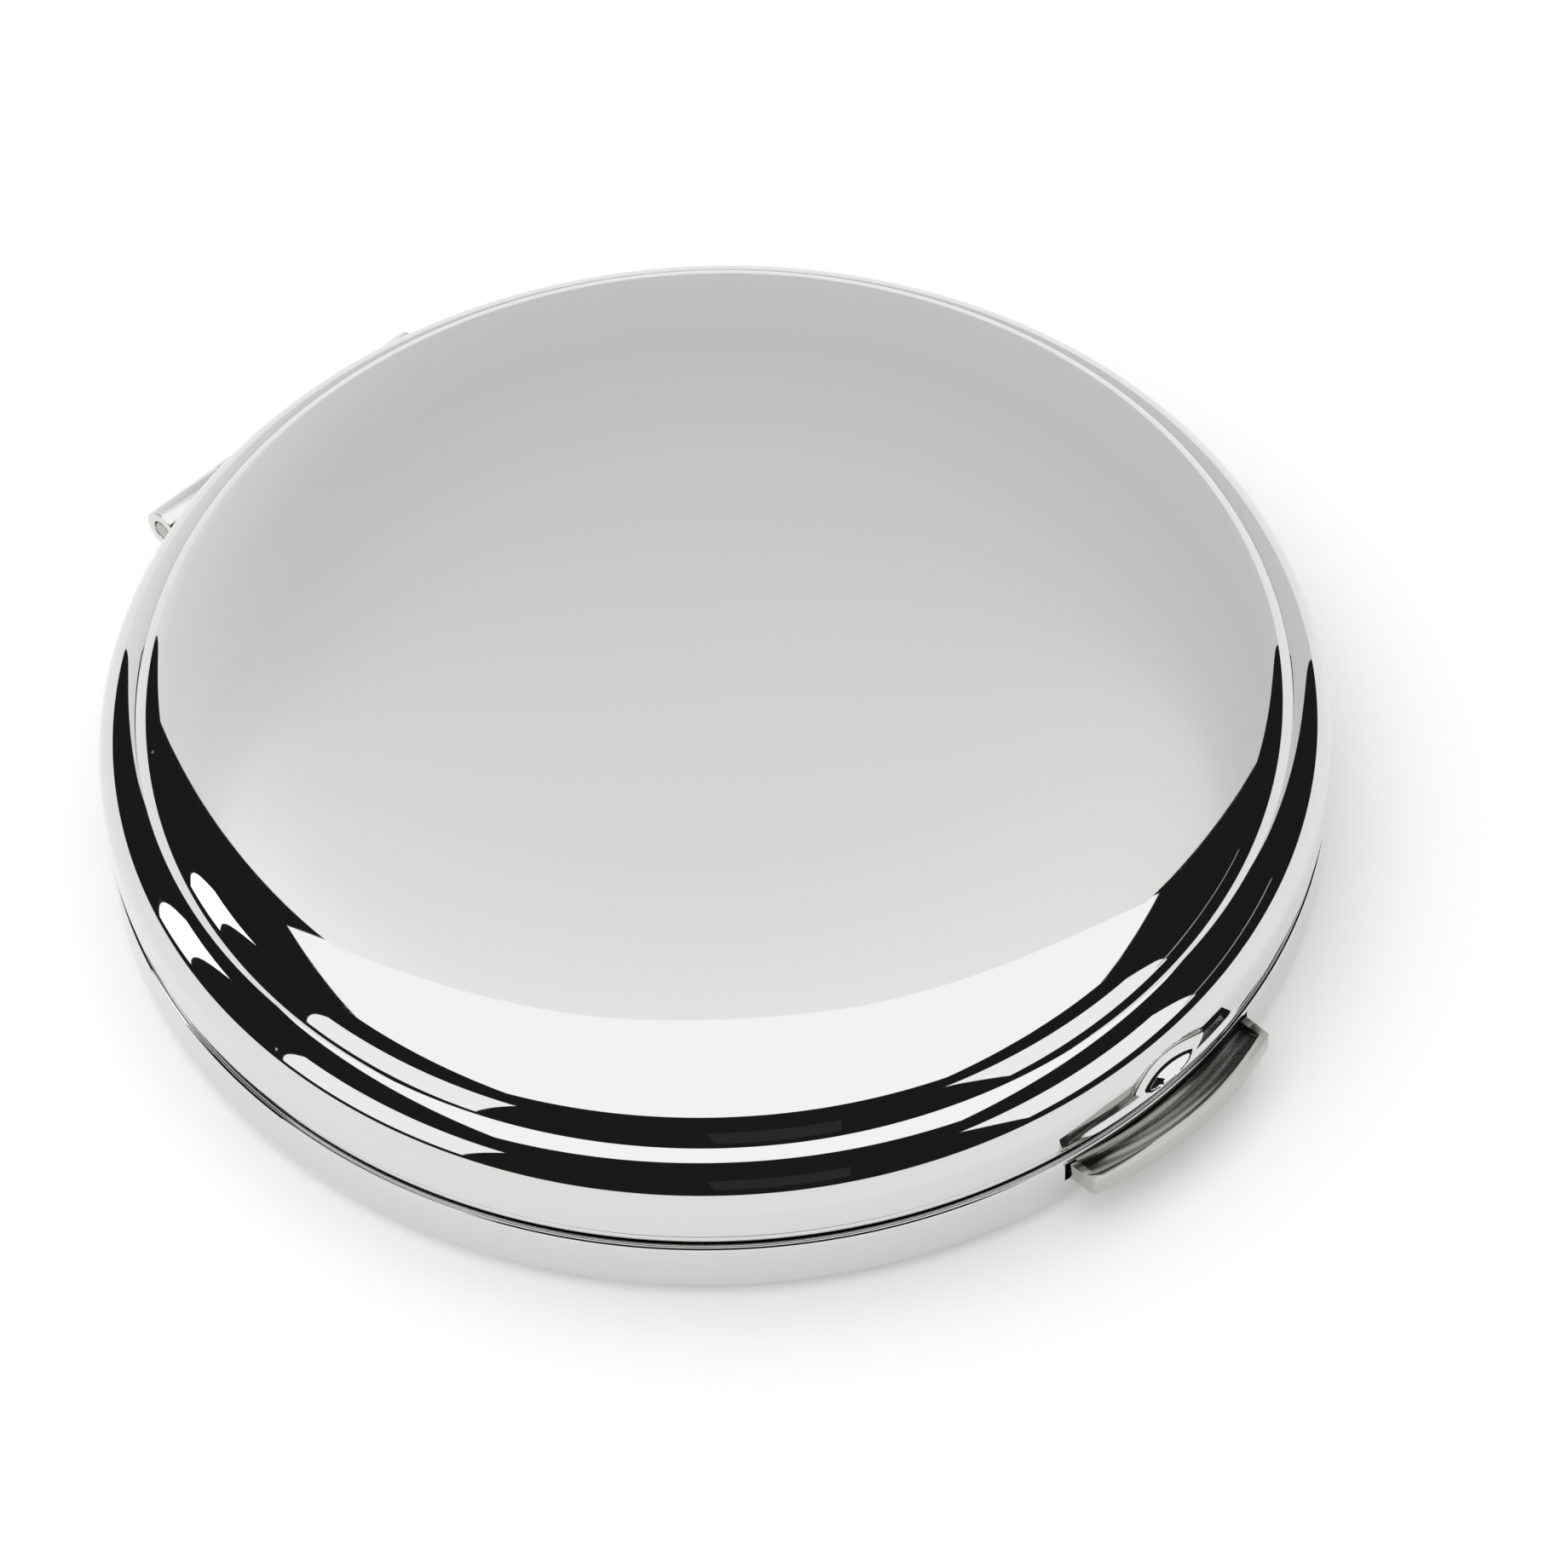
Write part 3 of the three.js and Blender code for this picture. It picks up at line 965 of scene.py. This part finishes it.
    def hinge_leaf(self) -> BMesh:
        """The leaf with the middle knuckle."""
        across = (-self.hinge.lid_half, self.hinge.lid_half)
        high = high_mm("lid_hinge_leaf").z
        top = self.hinge.axis_z + self.hinge.radius
        sheet, edge = 0.35, 0.06
        inside, outside = 27.9, 28.3  # Y of the riser's faces
        leaf = block(across, (inside, self.hinge.axis_y - 0.2), (top - sheet, top), edge)
        riser = block(across, (inside, outside), (top - sheet, high), edge)
        foot = block(across, (26.2, outside), (high - sheet, high), edge)
        knuckle = self.hinge.curl(across, slit_at=150)
        return cut(join(knuckle, leaf, riser, foot), self.hinge.bore_tool())

    def strike(self) -> BMesh:
        """The hooked tongue that the catch holds."""
        low, high = corners_mm("lid_strike")
        sheet, edge = 0.34, 0.07
        across = (-1.9, 1.9)
        foot = block((low.x, high.x), (low.y, -26.3), (high.z - sheet, high.z), edge)
        tongue = block(across, (-27.15, -26.7), (low.z, high.z - 0.1), edge)
        nose = block(across, (-27.1, high.y), (low.z, low.z + 0.5), 0.12)
        holes = [stub(RIVET_HOLE, x, y, (4.7, 6.2)) for x, y in rivet_places()]
        return cut(join(foot, tongue, nose), *holes)

    def rivet(self, place: Point) -> BMesh:
        """A rivet of the strike, with a domed head below and an upset end above."""
        low, high = (corner.z for corner in corners_mm("strike_rivet_left"))
        radius, shank = 0.62, 0.36
        section = [
            (0.0, low),
            (radius * 0.45, low + 0.02),
            (radius * 0.8, low + 0.09),
            (radius, low + 0.23),
            (shank, low + 0.23),
            (shank, high - 0.2),
            (radius - 0.04, high - 0.2),
            (radius - 0.02, high - 0.08),
            (radius * 0.75, high),
            (0.0, high),
        ]
        bm = turned(section, steps=48)
        bmesh.ops.translate(bm, vec=(place[0], place[1], 0), verts=bm.verts)
        return bm

    def build(self) -> None:
        """Builds and finishes every piece of the lid."""
        chrome, steel = (self.finishes.chrome, Slot.CHROME), (self.finishes.steel, Slot.STEEL)
        glass, board = (self.finishes.mirror, Slot.MIRROR), (self.finishes.board, Slot.BOARD)
        left, right = rivet_places()
        flat_glass = {"smooth_below": 4}
        for mesh, name, (material, slot), node, more in (
            (self.shell(), "lid_shell_stamping", chrome, "lid_shell", {}),
            (self.rim_ring(), "lid_mirror_ring", chrome, "lid_rim_ring", {}),
            (self.mirror(), "lid_mirror_glass", glass, "mirror", flat_glass),
            (self.pad(), "mirror_backing", board, "mirror_pad", {}),
            (self.hinge_leaf(), "hinge_leaf_lid", chrome, "lid_hinge_leaf", {}),
            (self.strike(), "strike_hook", steel, "lid_strike", {}),
            (self.rivet(left), "rivet_left", steel, "strike_rivet_left", {}),
            (self.rivet(right), "rivet_right", steel, "strike_rivet_right", {}),
        ):
            finish_piece(mesh, name, material, Body.LID, slot, (node,), **more)


def rivet_places() -> list[Point]:
    """X and Y of the two rivets of the strike, read from the CAD rivets."""
    places = []
    for node in ("strike_rivet_left", "strike_rivet_right"):
        middle = (low_mm(node) + high_mm(node)) / 2
        places.append((middle.x, middle.y))
    return places


# ---------------------------------------------------------------- the base


@dataclass
class Base:
    """The base: pan, inner ring, hinge leaf, pin, catch housing, springs, tray, divider."""

    finishes: Finishes
    hinge: Hinge
    catch: CatchPlace
    radius: float = field(default_factory=lambda: high_mm("base_pan").x)
    top: float = field(default_factory=lambda: high_mm("base_pan").z)
    sheet: float = 0.6
    corner: float = 1.4
    ring_foot: float = 1.35

    def pan(self) -> BMesh:
        """The base stamping with its hinge notch and catch slot."""
        centre = (self.radius - self.corner, self.corner)
        lip = 0.16
        inner = self.radius - self.sheet
        outside = [
            (0.0, 0.0),
            (20.0, 0.0),
            *arc(centre, self.corner, -90, 0, 16),
            (self.radius, self.top - 2 * lip),
            *arc((self.radius - lip, self.top - lip), lip, 0, 90, 5),
        ]
        inside = [
            *arc((inner + lip, self.top - lip), lip, 90, 180, 4),
            *arc(centre, self.corner - self.sheet, 0, -90, 8),
            (0.0, self.sheet),
        ]
        slot_half = self.catch.half + self.catch.play
        slot = block(
            (-slot_half, slot_half), (-31, -27),
            (self.catch.foot - 0.15, self.catch.slot_top),
        )
        notch = self.hinge.room(self.hinge.notch_half, (self.hinge.notch_low, 5))
        return cut(turned([*outside, *inside], steps=360), notch, slot)

    def rim_ring(self) -> BMesh:
        """The inner ring. Its rounded edge is the line that shows in the seam."""
        high = high_mm("base_rim_ring")
        shelf = self.top + 0.13
        edge = 0.2
        ring = turned([
            (RING_INNER, self.ring_foot),
            (RING_OUTER, self.ring_foot),
            (RING_OUTER, shelf),
            *arc((high.x - edge, shelf + edge), edge, -90, 0, 6),
            *arc((high.x - edge, high.z - edge), edge, 0, 90, 6),
            *arc((RING_INNER + edge, high.z - edge), edge, 90, 180, 6),
        ])
        half = self.catch.ring_notch_half
        room = block((-half, half), (-31, -24), (0, shelf - 0.08))
        return cut(ring, self.hinge.room(self.hinge.ring_notch_half, (0, 6)), room)

    def hinge_leaf(self) -> BMesh:
        """The leaf with the two outer knuckles."""
        web_foot, web_top = 3.15, 3.5
        strip, tall = (
            [(RING_INNER, self.ring_foot), (RING_OUTER, self.ring_foot),
             (RING_OUTER, top), (RING_INNER, top)]
            for top in (self.hinge.notch_low, web_top)
        )
        pieces = [swept(strip, 90, 17.6, 40)]
        start = self.hinge.lid_half + self.hinge.gap
        for side in (-1, 1):
            ends = sorted((side * start, side * self.hinge.half))
            pieces.append(swept(tall, 90 - side * 13.4, 4.2, 12))
            web = block(tuple(ends), (27, self.hinge.axis_y - 0.1), (web_foot, web_top), 0.05)
            core = [(0.0, 2.0), (RING_INNER, 2.0), (RING_INNER, 4.0), (0.0, 4.0)]
            pieces.append(cut(web, turned(core, steps=180)))
            pieces.append(self.hinge.curl(tuple(ends), slit_at=205))
        return cut(join(pieces[0], *pieces[1:]), self.hinge.bore_tool())

    def pin(self) -> BMesh:
        """The hinge pin with its rounded ends."""
        low, high = corners_mm("hinge_pin")
        half = self.hinge.half - 0.01
        return rod((high.y - low.y) / 2 + 0.04, (-half, half), self.hinge.centre, 0.16)

    def housing(self) -> BMesh:
        """The bent sheet guide of the catch."""
        low, high = corners_mm("catch_housing")
        sheet = 0.4
        edge = 0.06
        along = (low.y, high.y)
        half = high.x
        parts = [
            block((-half, half), along, (low.z, low.z + sheet), edge),
            block((-half, half), (high.y - sheet, high.y), (low.z, high.z), edge),
        ]
        for side in (-1, 1):
            wall = tuple(sorted((side * (half - sheet), side * half)))
            ledge = tuple(sorted((side * 4.9, side * half)))
            parts.append(block(wall, along, (low.z, high.z), edge))
            parts.append(block(ledge, along, (2.55, 2.95), edge))
            parts.append(block(ledge, along, (high.z - sheet, high.z), edge))
        return join(parts[0], *parts[1:])

    def spring(self, node: str) -> BMesh:
        """A compression spring along Y, coiled inside the room of its CAD node.

        Args:
            node: name of the CAD spring.

        Returns:
            The mesh.
        """
        low, high = corners_mm(node)
        wire = 0.13
        turns = 5
        steps = turns * 28
        coil = (high.x - low.x) / 2 - wire
        centre = Vector(((low.x + high.x) / 2, low.y + wire, (low.z + high.z) / 2))
        length = high.y - low.y - 2 * wire
        bm = bmesh.new()
        start = Matrix.Translation(centre + Vector((coil, 0, 0)))
        ring = bmesh.ops.create_circle(bm, segments=12, radius=wire, matrix=start)
        geometry = [*ring["verts"], *bm.edges]
        bmesh.ops.spin(
            bm, geom=geometry, cent=centre, axis=(0, 1, 0), dvec=(0, length / steps, 0),
            angle=2 * math.pi * turns, steps=steps, use_merge=False, use_duplicate=False,
        )
        bmesh.ops.holes_fill(bm, edges=bm.edges, sides=0)
        return tidy(bm)

    def tray(self) -> BMesh:
        """The moulded insert: a round dish with a flat front that clears the catch."""
        low, high = corners_mm("pill_tray")
        wall = 0.8
        floor = 1.65
        bm = bmesh.new()
        bmesh.ops.create_circle(bm, cap_ends=True, segments=192, radius=high.x)
        bmesh.ops.bisect_plane(
            bm, geom=bm.verts[:] + bm.edges[:] + bm.faces[:], plane_co=(0, low.y, 0),
            plane_no=(0, -1, 0), clear_outer=True,
        )
        bmesh.ops.translate(bm, vec=(0, 0, low.z), verts=bm.verts)
        drag(bm, bm.faces[:], (0, 0, high.z - low.z), keep=True)
        roof = [f for f in bm.faces if min(v.co.z for v in f.verts) > high.z - 0.01]
        bmesh.ops.inset_region(bm, faces=roof, thickness=wall, use_even_offset=True)
        drag(bm, roof, (0, 0, floor - high.z))
        bmesh.ops.delete(bm, geom=roof, context="FACES")
        tidy(bm)
        bevel_edges(bm, 0.22, 4, above=25)
        return tidy(bm)

    def divider(self) -> BMesh:
        """The removable cross with its finger post."""
        low, high = corners_mm("tray_divider")
        half = 0.35
        edge = 0.14
        across = block((low.x, high.x), (-half, half), (low.z, high.z), edge)
        along = block((-half, half), (low.y, high.y), (low.z, high.z), edge)
        post = turned([
            (0.0, low.z),
            (1.1, low.z),
            *arc((0.85, high.z - 0.25), 0.25, 0, 90, 6),
            (0.6, high.z),
            (0.35, high.z - 0.14),
            (0.0, high.z - 0.16),
        ], steps=64)
        return join(across, along, post)

    def build(self) -> None:
        """Builds and finishes every piece of the base."""
        chrome, steel = (self.finishes.chrome, Slot.CHROME), (self.finishes.steel, Slot.STEEL)
        plastic = (self.finishes.plastic, Slot.PLASTIC)
        left, right = "catch_spring_left", "catch_spring_right"
        for mesh, name, (material, slot), node in (
            (self.pan(), "base_pan_stamping", chrome, "base_pan"),
            (self.rim_ring(), "base_seam_ring", chrome, "base_rim_ring"),
            (self.hinge_leaf(), "hinge_leaf_base", chrome, "base_hinge_leaf"),
            (self.pin(), "hinge_wire", steel, "hinge_pin"),
            (self.housing(), "catch_guide", steel, "catch_housing"),
            (self.spring(left), "coil_spring_left", steel, left),
            (self.spring(right), "coil_spring_right", steel, right),
            (self.tray(), "moulded_tray", plastic, "pill_tray"),
            (self.divider(), "cross_divider", plastic, "tray_divider"),
        ):
            coiled = node in (left, right)
            smooth = 60 if coiled else 32
            made = finish_piece(mesh, name, material, Body.BASE, slot, (node,), smooth)
            if coiled:
                squeeze_spring(made)


def squeeze_spring(coil: Object) -> None:
    """Gives a coil its own copy of its mesh.

    Args:
        coil: the finished spring.
    """
    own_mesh(coil)


# ---------------------------------------------------------------- the catch


@dataclass
class Catch:
    """The thumb catch: a channel-shaped finger piece and the plate behind it."""

    finishes: Finishes
    place: CatchPlace
    plate_half: float = 5.4
    plate: Range = (3.15, 3.65)  # lower and upper face of the plate behind the finger piece
    window_half: float = 2.9
    window: Range = (-28.15, -26.0)
    front_radius: float = 20.0  # the bow of the front
    corner: float = 0.95

    def outline(self) -> BMesh:
        """The finger piece before its channel: bowed front, rounded corners and edges."""
        half = self.place.half
        top = self.place.top
        axis_y = self.front_radius - self.place.reach
        bowed = stub(self.front_radius, 0, axis_y, (self.place.foot, top), around=512)
        bm = shared(block((-half, half), (-34, -28.6), (0, 6)), bowed)
        upright = [
            e for e in bm.edges
            if abs(e.verts[0].co.z - e.verts[1].co.z) > 0.5
            and all(abs(v.co.x) > half - 0.01 and v.co.y < -30 for v in e.verts)
        ]
        bmesh.ops.bevel(
            bm, geom=upright, offset=self.corner, offset_type="OFFSET", segments=10,
            profile=0.5, affect="EDGES", material=-1,
        )
        bevel_edges(bm, 0.1, 3, above=50)
        return tidy(bm)

    def channel(self) -> BMesh:
        """The tool that sinks the channel: flat beside the case, rising to the outer lip."""
        top = self.place.top
        lip = self.front_radius - 0.4
        floor = top - 0.4
        hollow = 1.9
        foot = lip - 1.05
        rise = math.degrees(math.asin((lip - foot) / hollow))
        bm = swept(
            [
                (foot - 0.28, top + 1),
                (foot - 0.28, top - 0.12),
                (foot - 0.2, floor + 0.02),
                *arc((foot, floor + hollow), hollow, -90, -90 + rise, 14),
                (lip, top + 1),
            ],
            -90, 18, 60, axis_y=self.front_radius - self.place.reach,
        )
        for side in (-1, 1):
            bmesh.ops.bisect_plane(
                bm, geom=bm.verts[:] + bm.edges[:] + bm.faces[:],
                plane_co=(side * (self.place.half - 0.4), 0, 0), plane_no=(side, 0, 0),
                clear_outer=True,
            )
            bmesh.ops.holes_fill(bm, edges=bm.edges, sides=0)
        return tidy(bm)

    def finger_piece(self) -> BMesh:
        """The finger piece with its channel and softened edges."""
        bm = cut(self.outline(), self.channel())
        bmesh.ops.dissolve_degenerate(bm, dist=0.002, edges=bm.edges)
        return bm

    def mesh(self) -> BMesh:
        """Finger piece and plate in one, with the window for the strike."""
        back = high_mm("thumb_catch").y
        plate = block((-self.plate_half, self.plate_half), (-28.9, back), self.plate, 0.06)
        window = block((-self.window_half, self.window_half), self.window, (2, 4))
        return cut(join(self.finger_piece(), plate), window)

    def build(self) -> None:
        """Builds and finishes the catch."""
        # the catch's finish is rougher chrome whose darker colour is painted shade
        finish_piece(self.mesh(), "thumb_push", self.finishes.tumbled, Body.CATCH, Slot.CHROME,
                     ("thumb_catch",), smooth_below=28)


# ---------------------------------------------------------------- studio


def glow(name: str, strength: float) -> Material:
    """A card that glows evenly."""
    return close_material(
        blank_material(name)[0], "ShaderNodeEmission",
        {"Color": linear("FFFFFF"), "Strength": strength},
    )


# tones of the back sweep by height, as a share of its distance
SWEEP_TONES = (
    (0.20, 0.60), (0.60, 0.58), (0.70, 0.61), (0.74, 0.66), (0.765, 0.74), (0.80, 0.785),
    (0.875, 0.85), (0.93, 0.88),
)


def sweep_glow(name: str, reach: float, facing: float, strength: float) -> Material:
    """The lit back sweep: brighter with height, and towards its left end.

    Args:
        name: name of the material.
        reach: distance of the sweep from the box in metres.
        facing: direction from the box to its middle, in degrees from +X.
        strength: light at full tone.

    Returns:
        The material.
    """
    material, tree = blank_material(name)
    settings = {"Rotation": (0, 0, -math.radians(facing)), "Scale": (1 / reach,) * 3}
    place = mapped(tree, object_place(tree), settings)
    split = add_node(tree, "ShaderNodeSeparateXYZ", links={"Vector": place}).outputs
    tones = add_node(tree, "ShaderNodeValToRGB", links={"Fac": split["Z"]})
    ramp = tones.color_ramp
    for height, _ in SWEEP_TONES[2:]:
        ramp.elements.new(height)
    for element, (height, tone) in zip(ramp.elements, SWEEP_TONES):
        element.position = height
        element.color = (tone, tone, tone * 0.995, 1)
    left = remap(
        tree, split["Y"], (0.12, 0.66), (strength, strength * 1.3),
        interpolation_type="SMOOTHSTEP",
    )
    return close_material(
        material, "ShaderNodeEmission", links={"Color": tones.outputs[0], "Strength": left}
    )


@dataclass(frozen=True)
class Card:
    """A flat light card that faces the box.

    Bearings are in degrees to the right of the camera's view direction, elevations in
    degrees above the table, and sizes are the angles that the card takes.
    """

    name: str
    bearing: float
    elevation: float
    width: float
    height: float
    strength: float
    lean: float = 0.0  # degrees that its upper end leans to the right


@dataclass
class Studio:
    """Pale table, soft sun, light cards and camera."""

    facing: float = 45.9  # direction that the camera looks in, in degrees from +X
    camera_elevation: float = 49.74
    camera_distance: float = 0.340
    lens: float = 160.5
    roll: float = -1.75
    target: tuple[float, float, float] = (0.00047, -0.00420, 0.0047)
    reach: float = 0.8
    sweep_bearings: Range = (-43.5, 48.5)
    sweep_top: float = 67.0
    sweep_strength: float = 1.22
    sweep_edge: float = 22.5  # slope of its cut upper edge from overhead, in degrees
    sun_strength: float = 1.75
    sun_tilt: float = -14.0  # degrees from overhead, so that shadows fall to the right
    mirror_dark: float = 0.014  # the world as reflections see it
    fill: float = 0.3  # the world as matt surfaces see it
    backdrop: float = 0.95  # the world as the camera sees it
    cards: tuple[Card, ...] = (
        Card("overhead_box", 0, 90, 53, 46.6, 1.24),
        Card("softbox_left", -124, 21, 32, 30, 1.15),
        Card("softbox_right", 118.5, 27, 33, 28, 1.15, lean=6),
        Card("strip_left", -79, 25, 9, 36, 1.8, lean=14),
        Card("strip_right", 90, 19, 24, 1.4, 0.45, lean=8),
        Card("camera_side_window", 172, 22, 20, 18, 0.03),
    )

    def floor(self) -> None:
        """The pale matt table top, lit from below, so that shadows on it stay weak."""
        material, tree = blank_material("pale_table")
        mottling = noise(tree, object_place(tree), 60.0, 3.0)
        colour = mixed_colour(tree, mottling, "F6F6F5", "F8F8F8")
        close_material(
            material, "ShaderNodeBsdfPrincipled",
            {"Roughness": 0.85, "Specular IOR Level": 0.1, "Emission Strength": 0.25},
            {"Base Color": colour, "Emission Color": colour},
        )
        bm = bmesh.new()
        bmesh.ops.create_circle(bm, cap_ends=True, segments=96, radius=6.0)
        table = scratch_object("table", bm)
        table.data.materials.append(material)

    def hang(self, name: str, bm: BMesh, material: Material) -> None:
        """Hangs a light card, which only reflections see."""
        made = scratch_object(name, bm)
        made.data.materials.append(material)
        made.visible_camera = False
        made.visible_shadow = False
        made.visible_diffuse = False

    def hang_card(self, card: Card) -> None:
        """Hangs one flat card on the sphere around the box."""
        size = [2 * self.reach * math.tan(math.radians(a / 2)) for a in (card.height, card.width)]
        place = (
            Matrix.Rotation(math.radians(self.facing - card.bearing), 4, "Z")
            @ Matrix.Rotation(-math.radians(card.elevation), 4, "Y")
            @ Matrix.Translation((self.reach, 0, 0))
            @ Matrix.Rotation(math.radians(card.lean), 4, "X")
            @ Matrix.Rotation(math.radians(90), 4, "Y")
            @ Matrix.Diagonal((size[0], size[1], 1, 1))
        )
        bm = bmesh.new()
        bmesh.ops.create_grid(bm, x_segments=1, y_segments=1, size=0.5, matrix=place)
        self.hang(card.name, bm, glow(card.name, card.strength))

    def hang_sweep(self) -> None:
        """Hangs the curved sweep behind the box, cut off by the overhead box's far edge."""
        right, left = self.sweep_bearings[1], self.sweep_bearings[0]
        bm = bmesh.new()
        lift = (self.sweep_top + 2) / 32
        path = [
            Matrix.Rotation(-math.radians(-2 + lift * i), 3, "Y") @ Vector((self.reach, 0, 0))
            for i in range(33)
        ]
        verts = [bm.verts.new(point) for point in path]
        edges = [bm.edges.new(pair) for pair in zip(verts, verts[1:])]
        turn_to(bm, self.facing - right)
        spin(bm, [*verts, *edges], right - left, 64)
        facing = math.radians(self.facing)
        edge = math.tan(math.radians(self.sweep_edge))
        bmesh.ops.bisect_plane(
            bm, geom=bm.verts[:] + bm.edges[:] + bm.faces[:], plane_co=(0, 0, 0),
            plane_no=(math.cos(facing), math.sin(facing), -edge), clear_inner=True,
        )
        glowing = sweep_glow("back_sweep", self.reach, self.facing, self.sweep_strength)
        self.hang("back_sweep", bm, glowing)

    def lights(self) -> None:
        """A broad soft sun, and a world that is pale behind the scene and dark in mirrors."""
        sun = bpy.data.lights.new("soft_sun", "SUN")
        sun.energy = self.sun_strength
        sun.angle = math.radians(80)
        lamp = bpy.data.objects.new("soft_sun", sun)
        lamp.rotation_euler = (
            Matrix.Rotation(math.radians(self.facing), 4, "Z")
            @ Matrix.Rotation(math.radians(self.sun_tilt), 4, "X")
        ).to_euler()
        lamp.visible_glossy = False
        bpy.context.scene.collection.objects.link(lamp)
        world = bpy.data.worlds.new("studio")
        world.use_nodes = True
        tree = world.node_tree
        tree.nodes.clear()
        path = add_node(tree, "ShaderNodeLightPath").outputs
        shades = [
            add_node(
                tree, "ShaderNodeBackground", {"Color": linear("FFFFFF"), "Strength": strength}
            ).outputs[0]
            for strength in (self.mirror_dark, self.fill, self.backdrop)
        ]
        lit = add_node(
            tree, "ShaderNodeMixShader",
            links={0: path["Is Diffuse Ray"], 1: shades[0], 2: shades[1]},
        )
        seen = add_node(
            tree, "ShaderNodeMixShader",
            links={0: path["Is Camera Ray"], 1: lit.outputs[0], 2: shades[2]},
        )
        add_node(tree, "ShaderNodeOutputWorld", links={"Surface": seen.outputs[0]})
        bpy.context.scene.world = world

    def camera(self) -> None:
        """The camera at the view's angle, slightly rolled."""
        data = bpy.data.cameras.new("camera")
        data.sensor_width = 36.0
        data.lens = self.lens
        data.clip_start = 0.01
        facing, lift = math.radians(self.facing), math.radians(self.camera_elevation)
        back = Vector((
            -math.cos(facing) * math.cos(lift), -math.sin(facing) * math.cos(lift),
            math.sin(lift),
        ))
        right = Vector((math.sin(facing), -math.cos(facing), 0))
        up = back.cross(right)
        roll = math.radians(self.roll)
        tilted_right = right * math.cos(roll) + up * math.sin(roll)
        tilted_up = up * math.cos(roll) - right * math.sin(roll)
        place = Vector(self.target) + back * self.camera_distance
        axes = Matrix((tilted_right, tilted_up, back)).transposed().to_4x4()
        made = bpy.data.objects.new("camera", data)
        made.matrix_world = Matrix.Translation(place) @ axes
        bpy.context.scene.collection.objects.link(made)
        bpy.context.scene.camera = made

    def build(self) -> None:
        """Builds the whole studio."""
        self.camera()
        self.floor()
        self.hang_sweep()
        for card in self.cards:
            self.hang_card(card)
        self.lights()
        bpy.context.scene.view_settings.view_transform = "Standard"


# ---------------------------------------------------------------- assembly


def main() -> None:
    """Builds the studio, the base, the catch and the lid."""
    logging.basicConfig(level=logging.INFO, format="%(name)s %(message)s")
    Studio().build()
    finishes = Finishes.build()
    hinge = Hinge.from_frame()
    place = CatchPlace.from_frame()
    for part in (Base(finishes, hinge, place), Catch(finishes, place), Lid(finishes, hinge)):
        log.info("building %s", type(part).__name__)
        part.build()


if __name__ == "__main__":
    main()
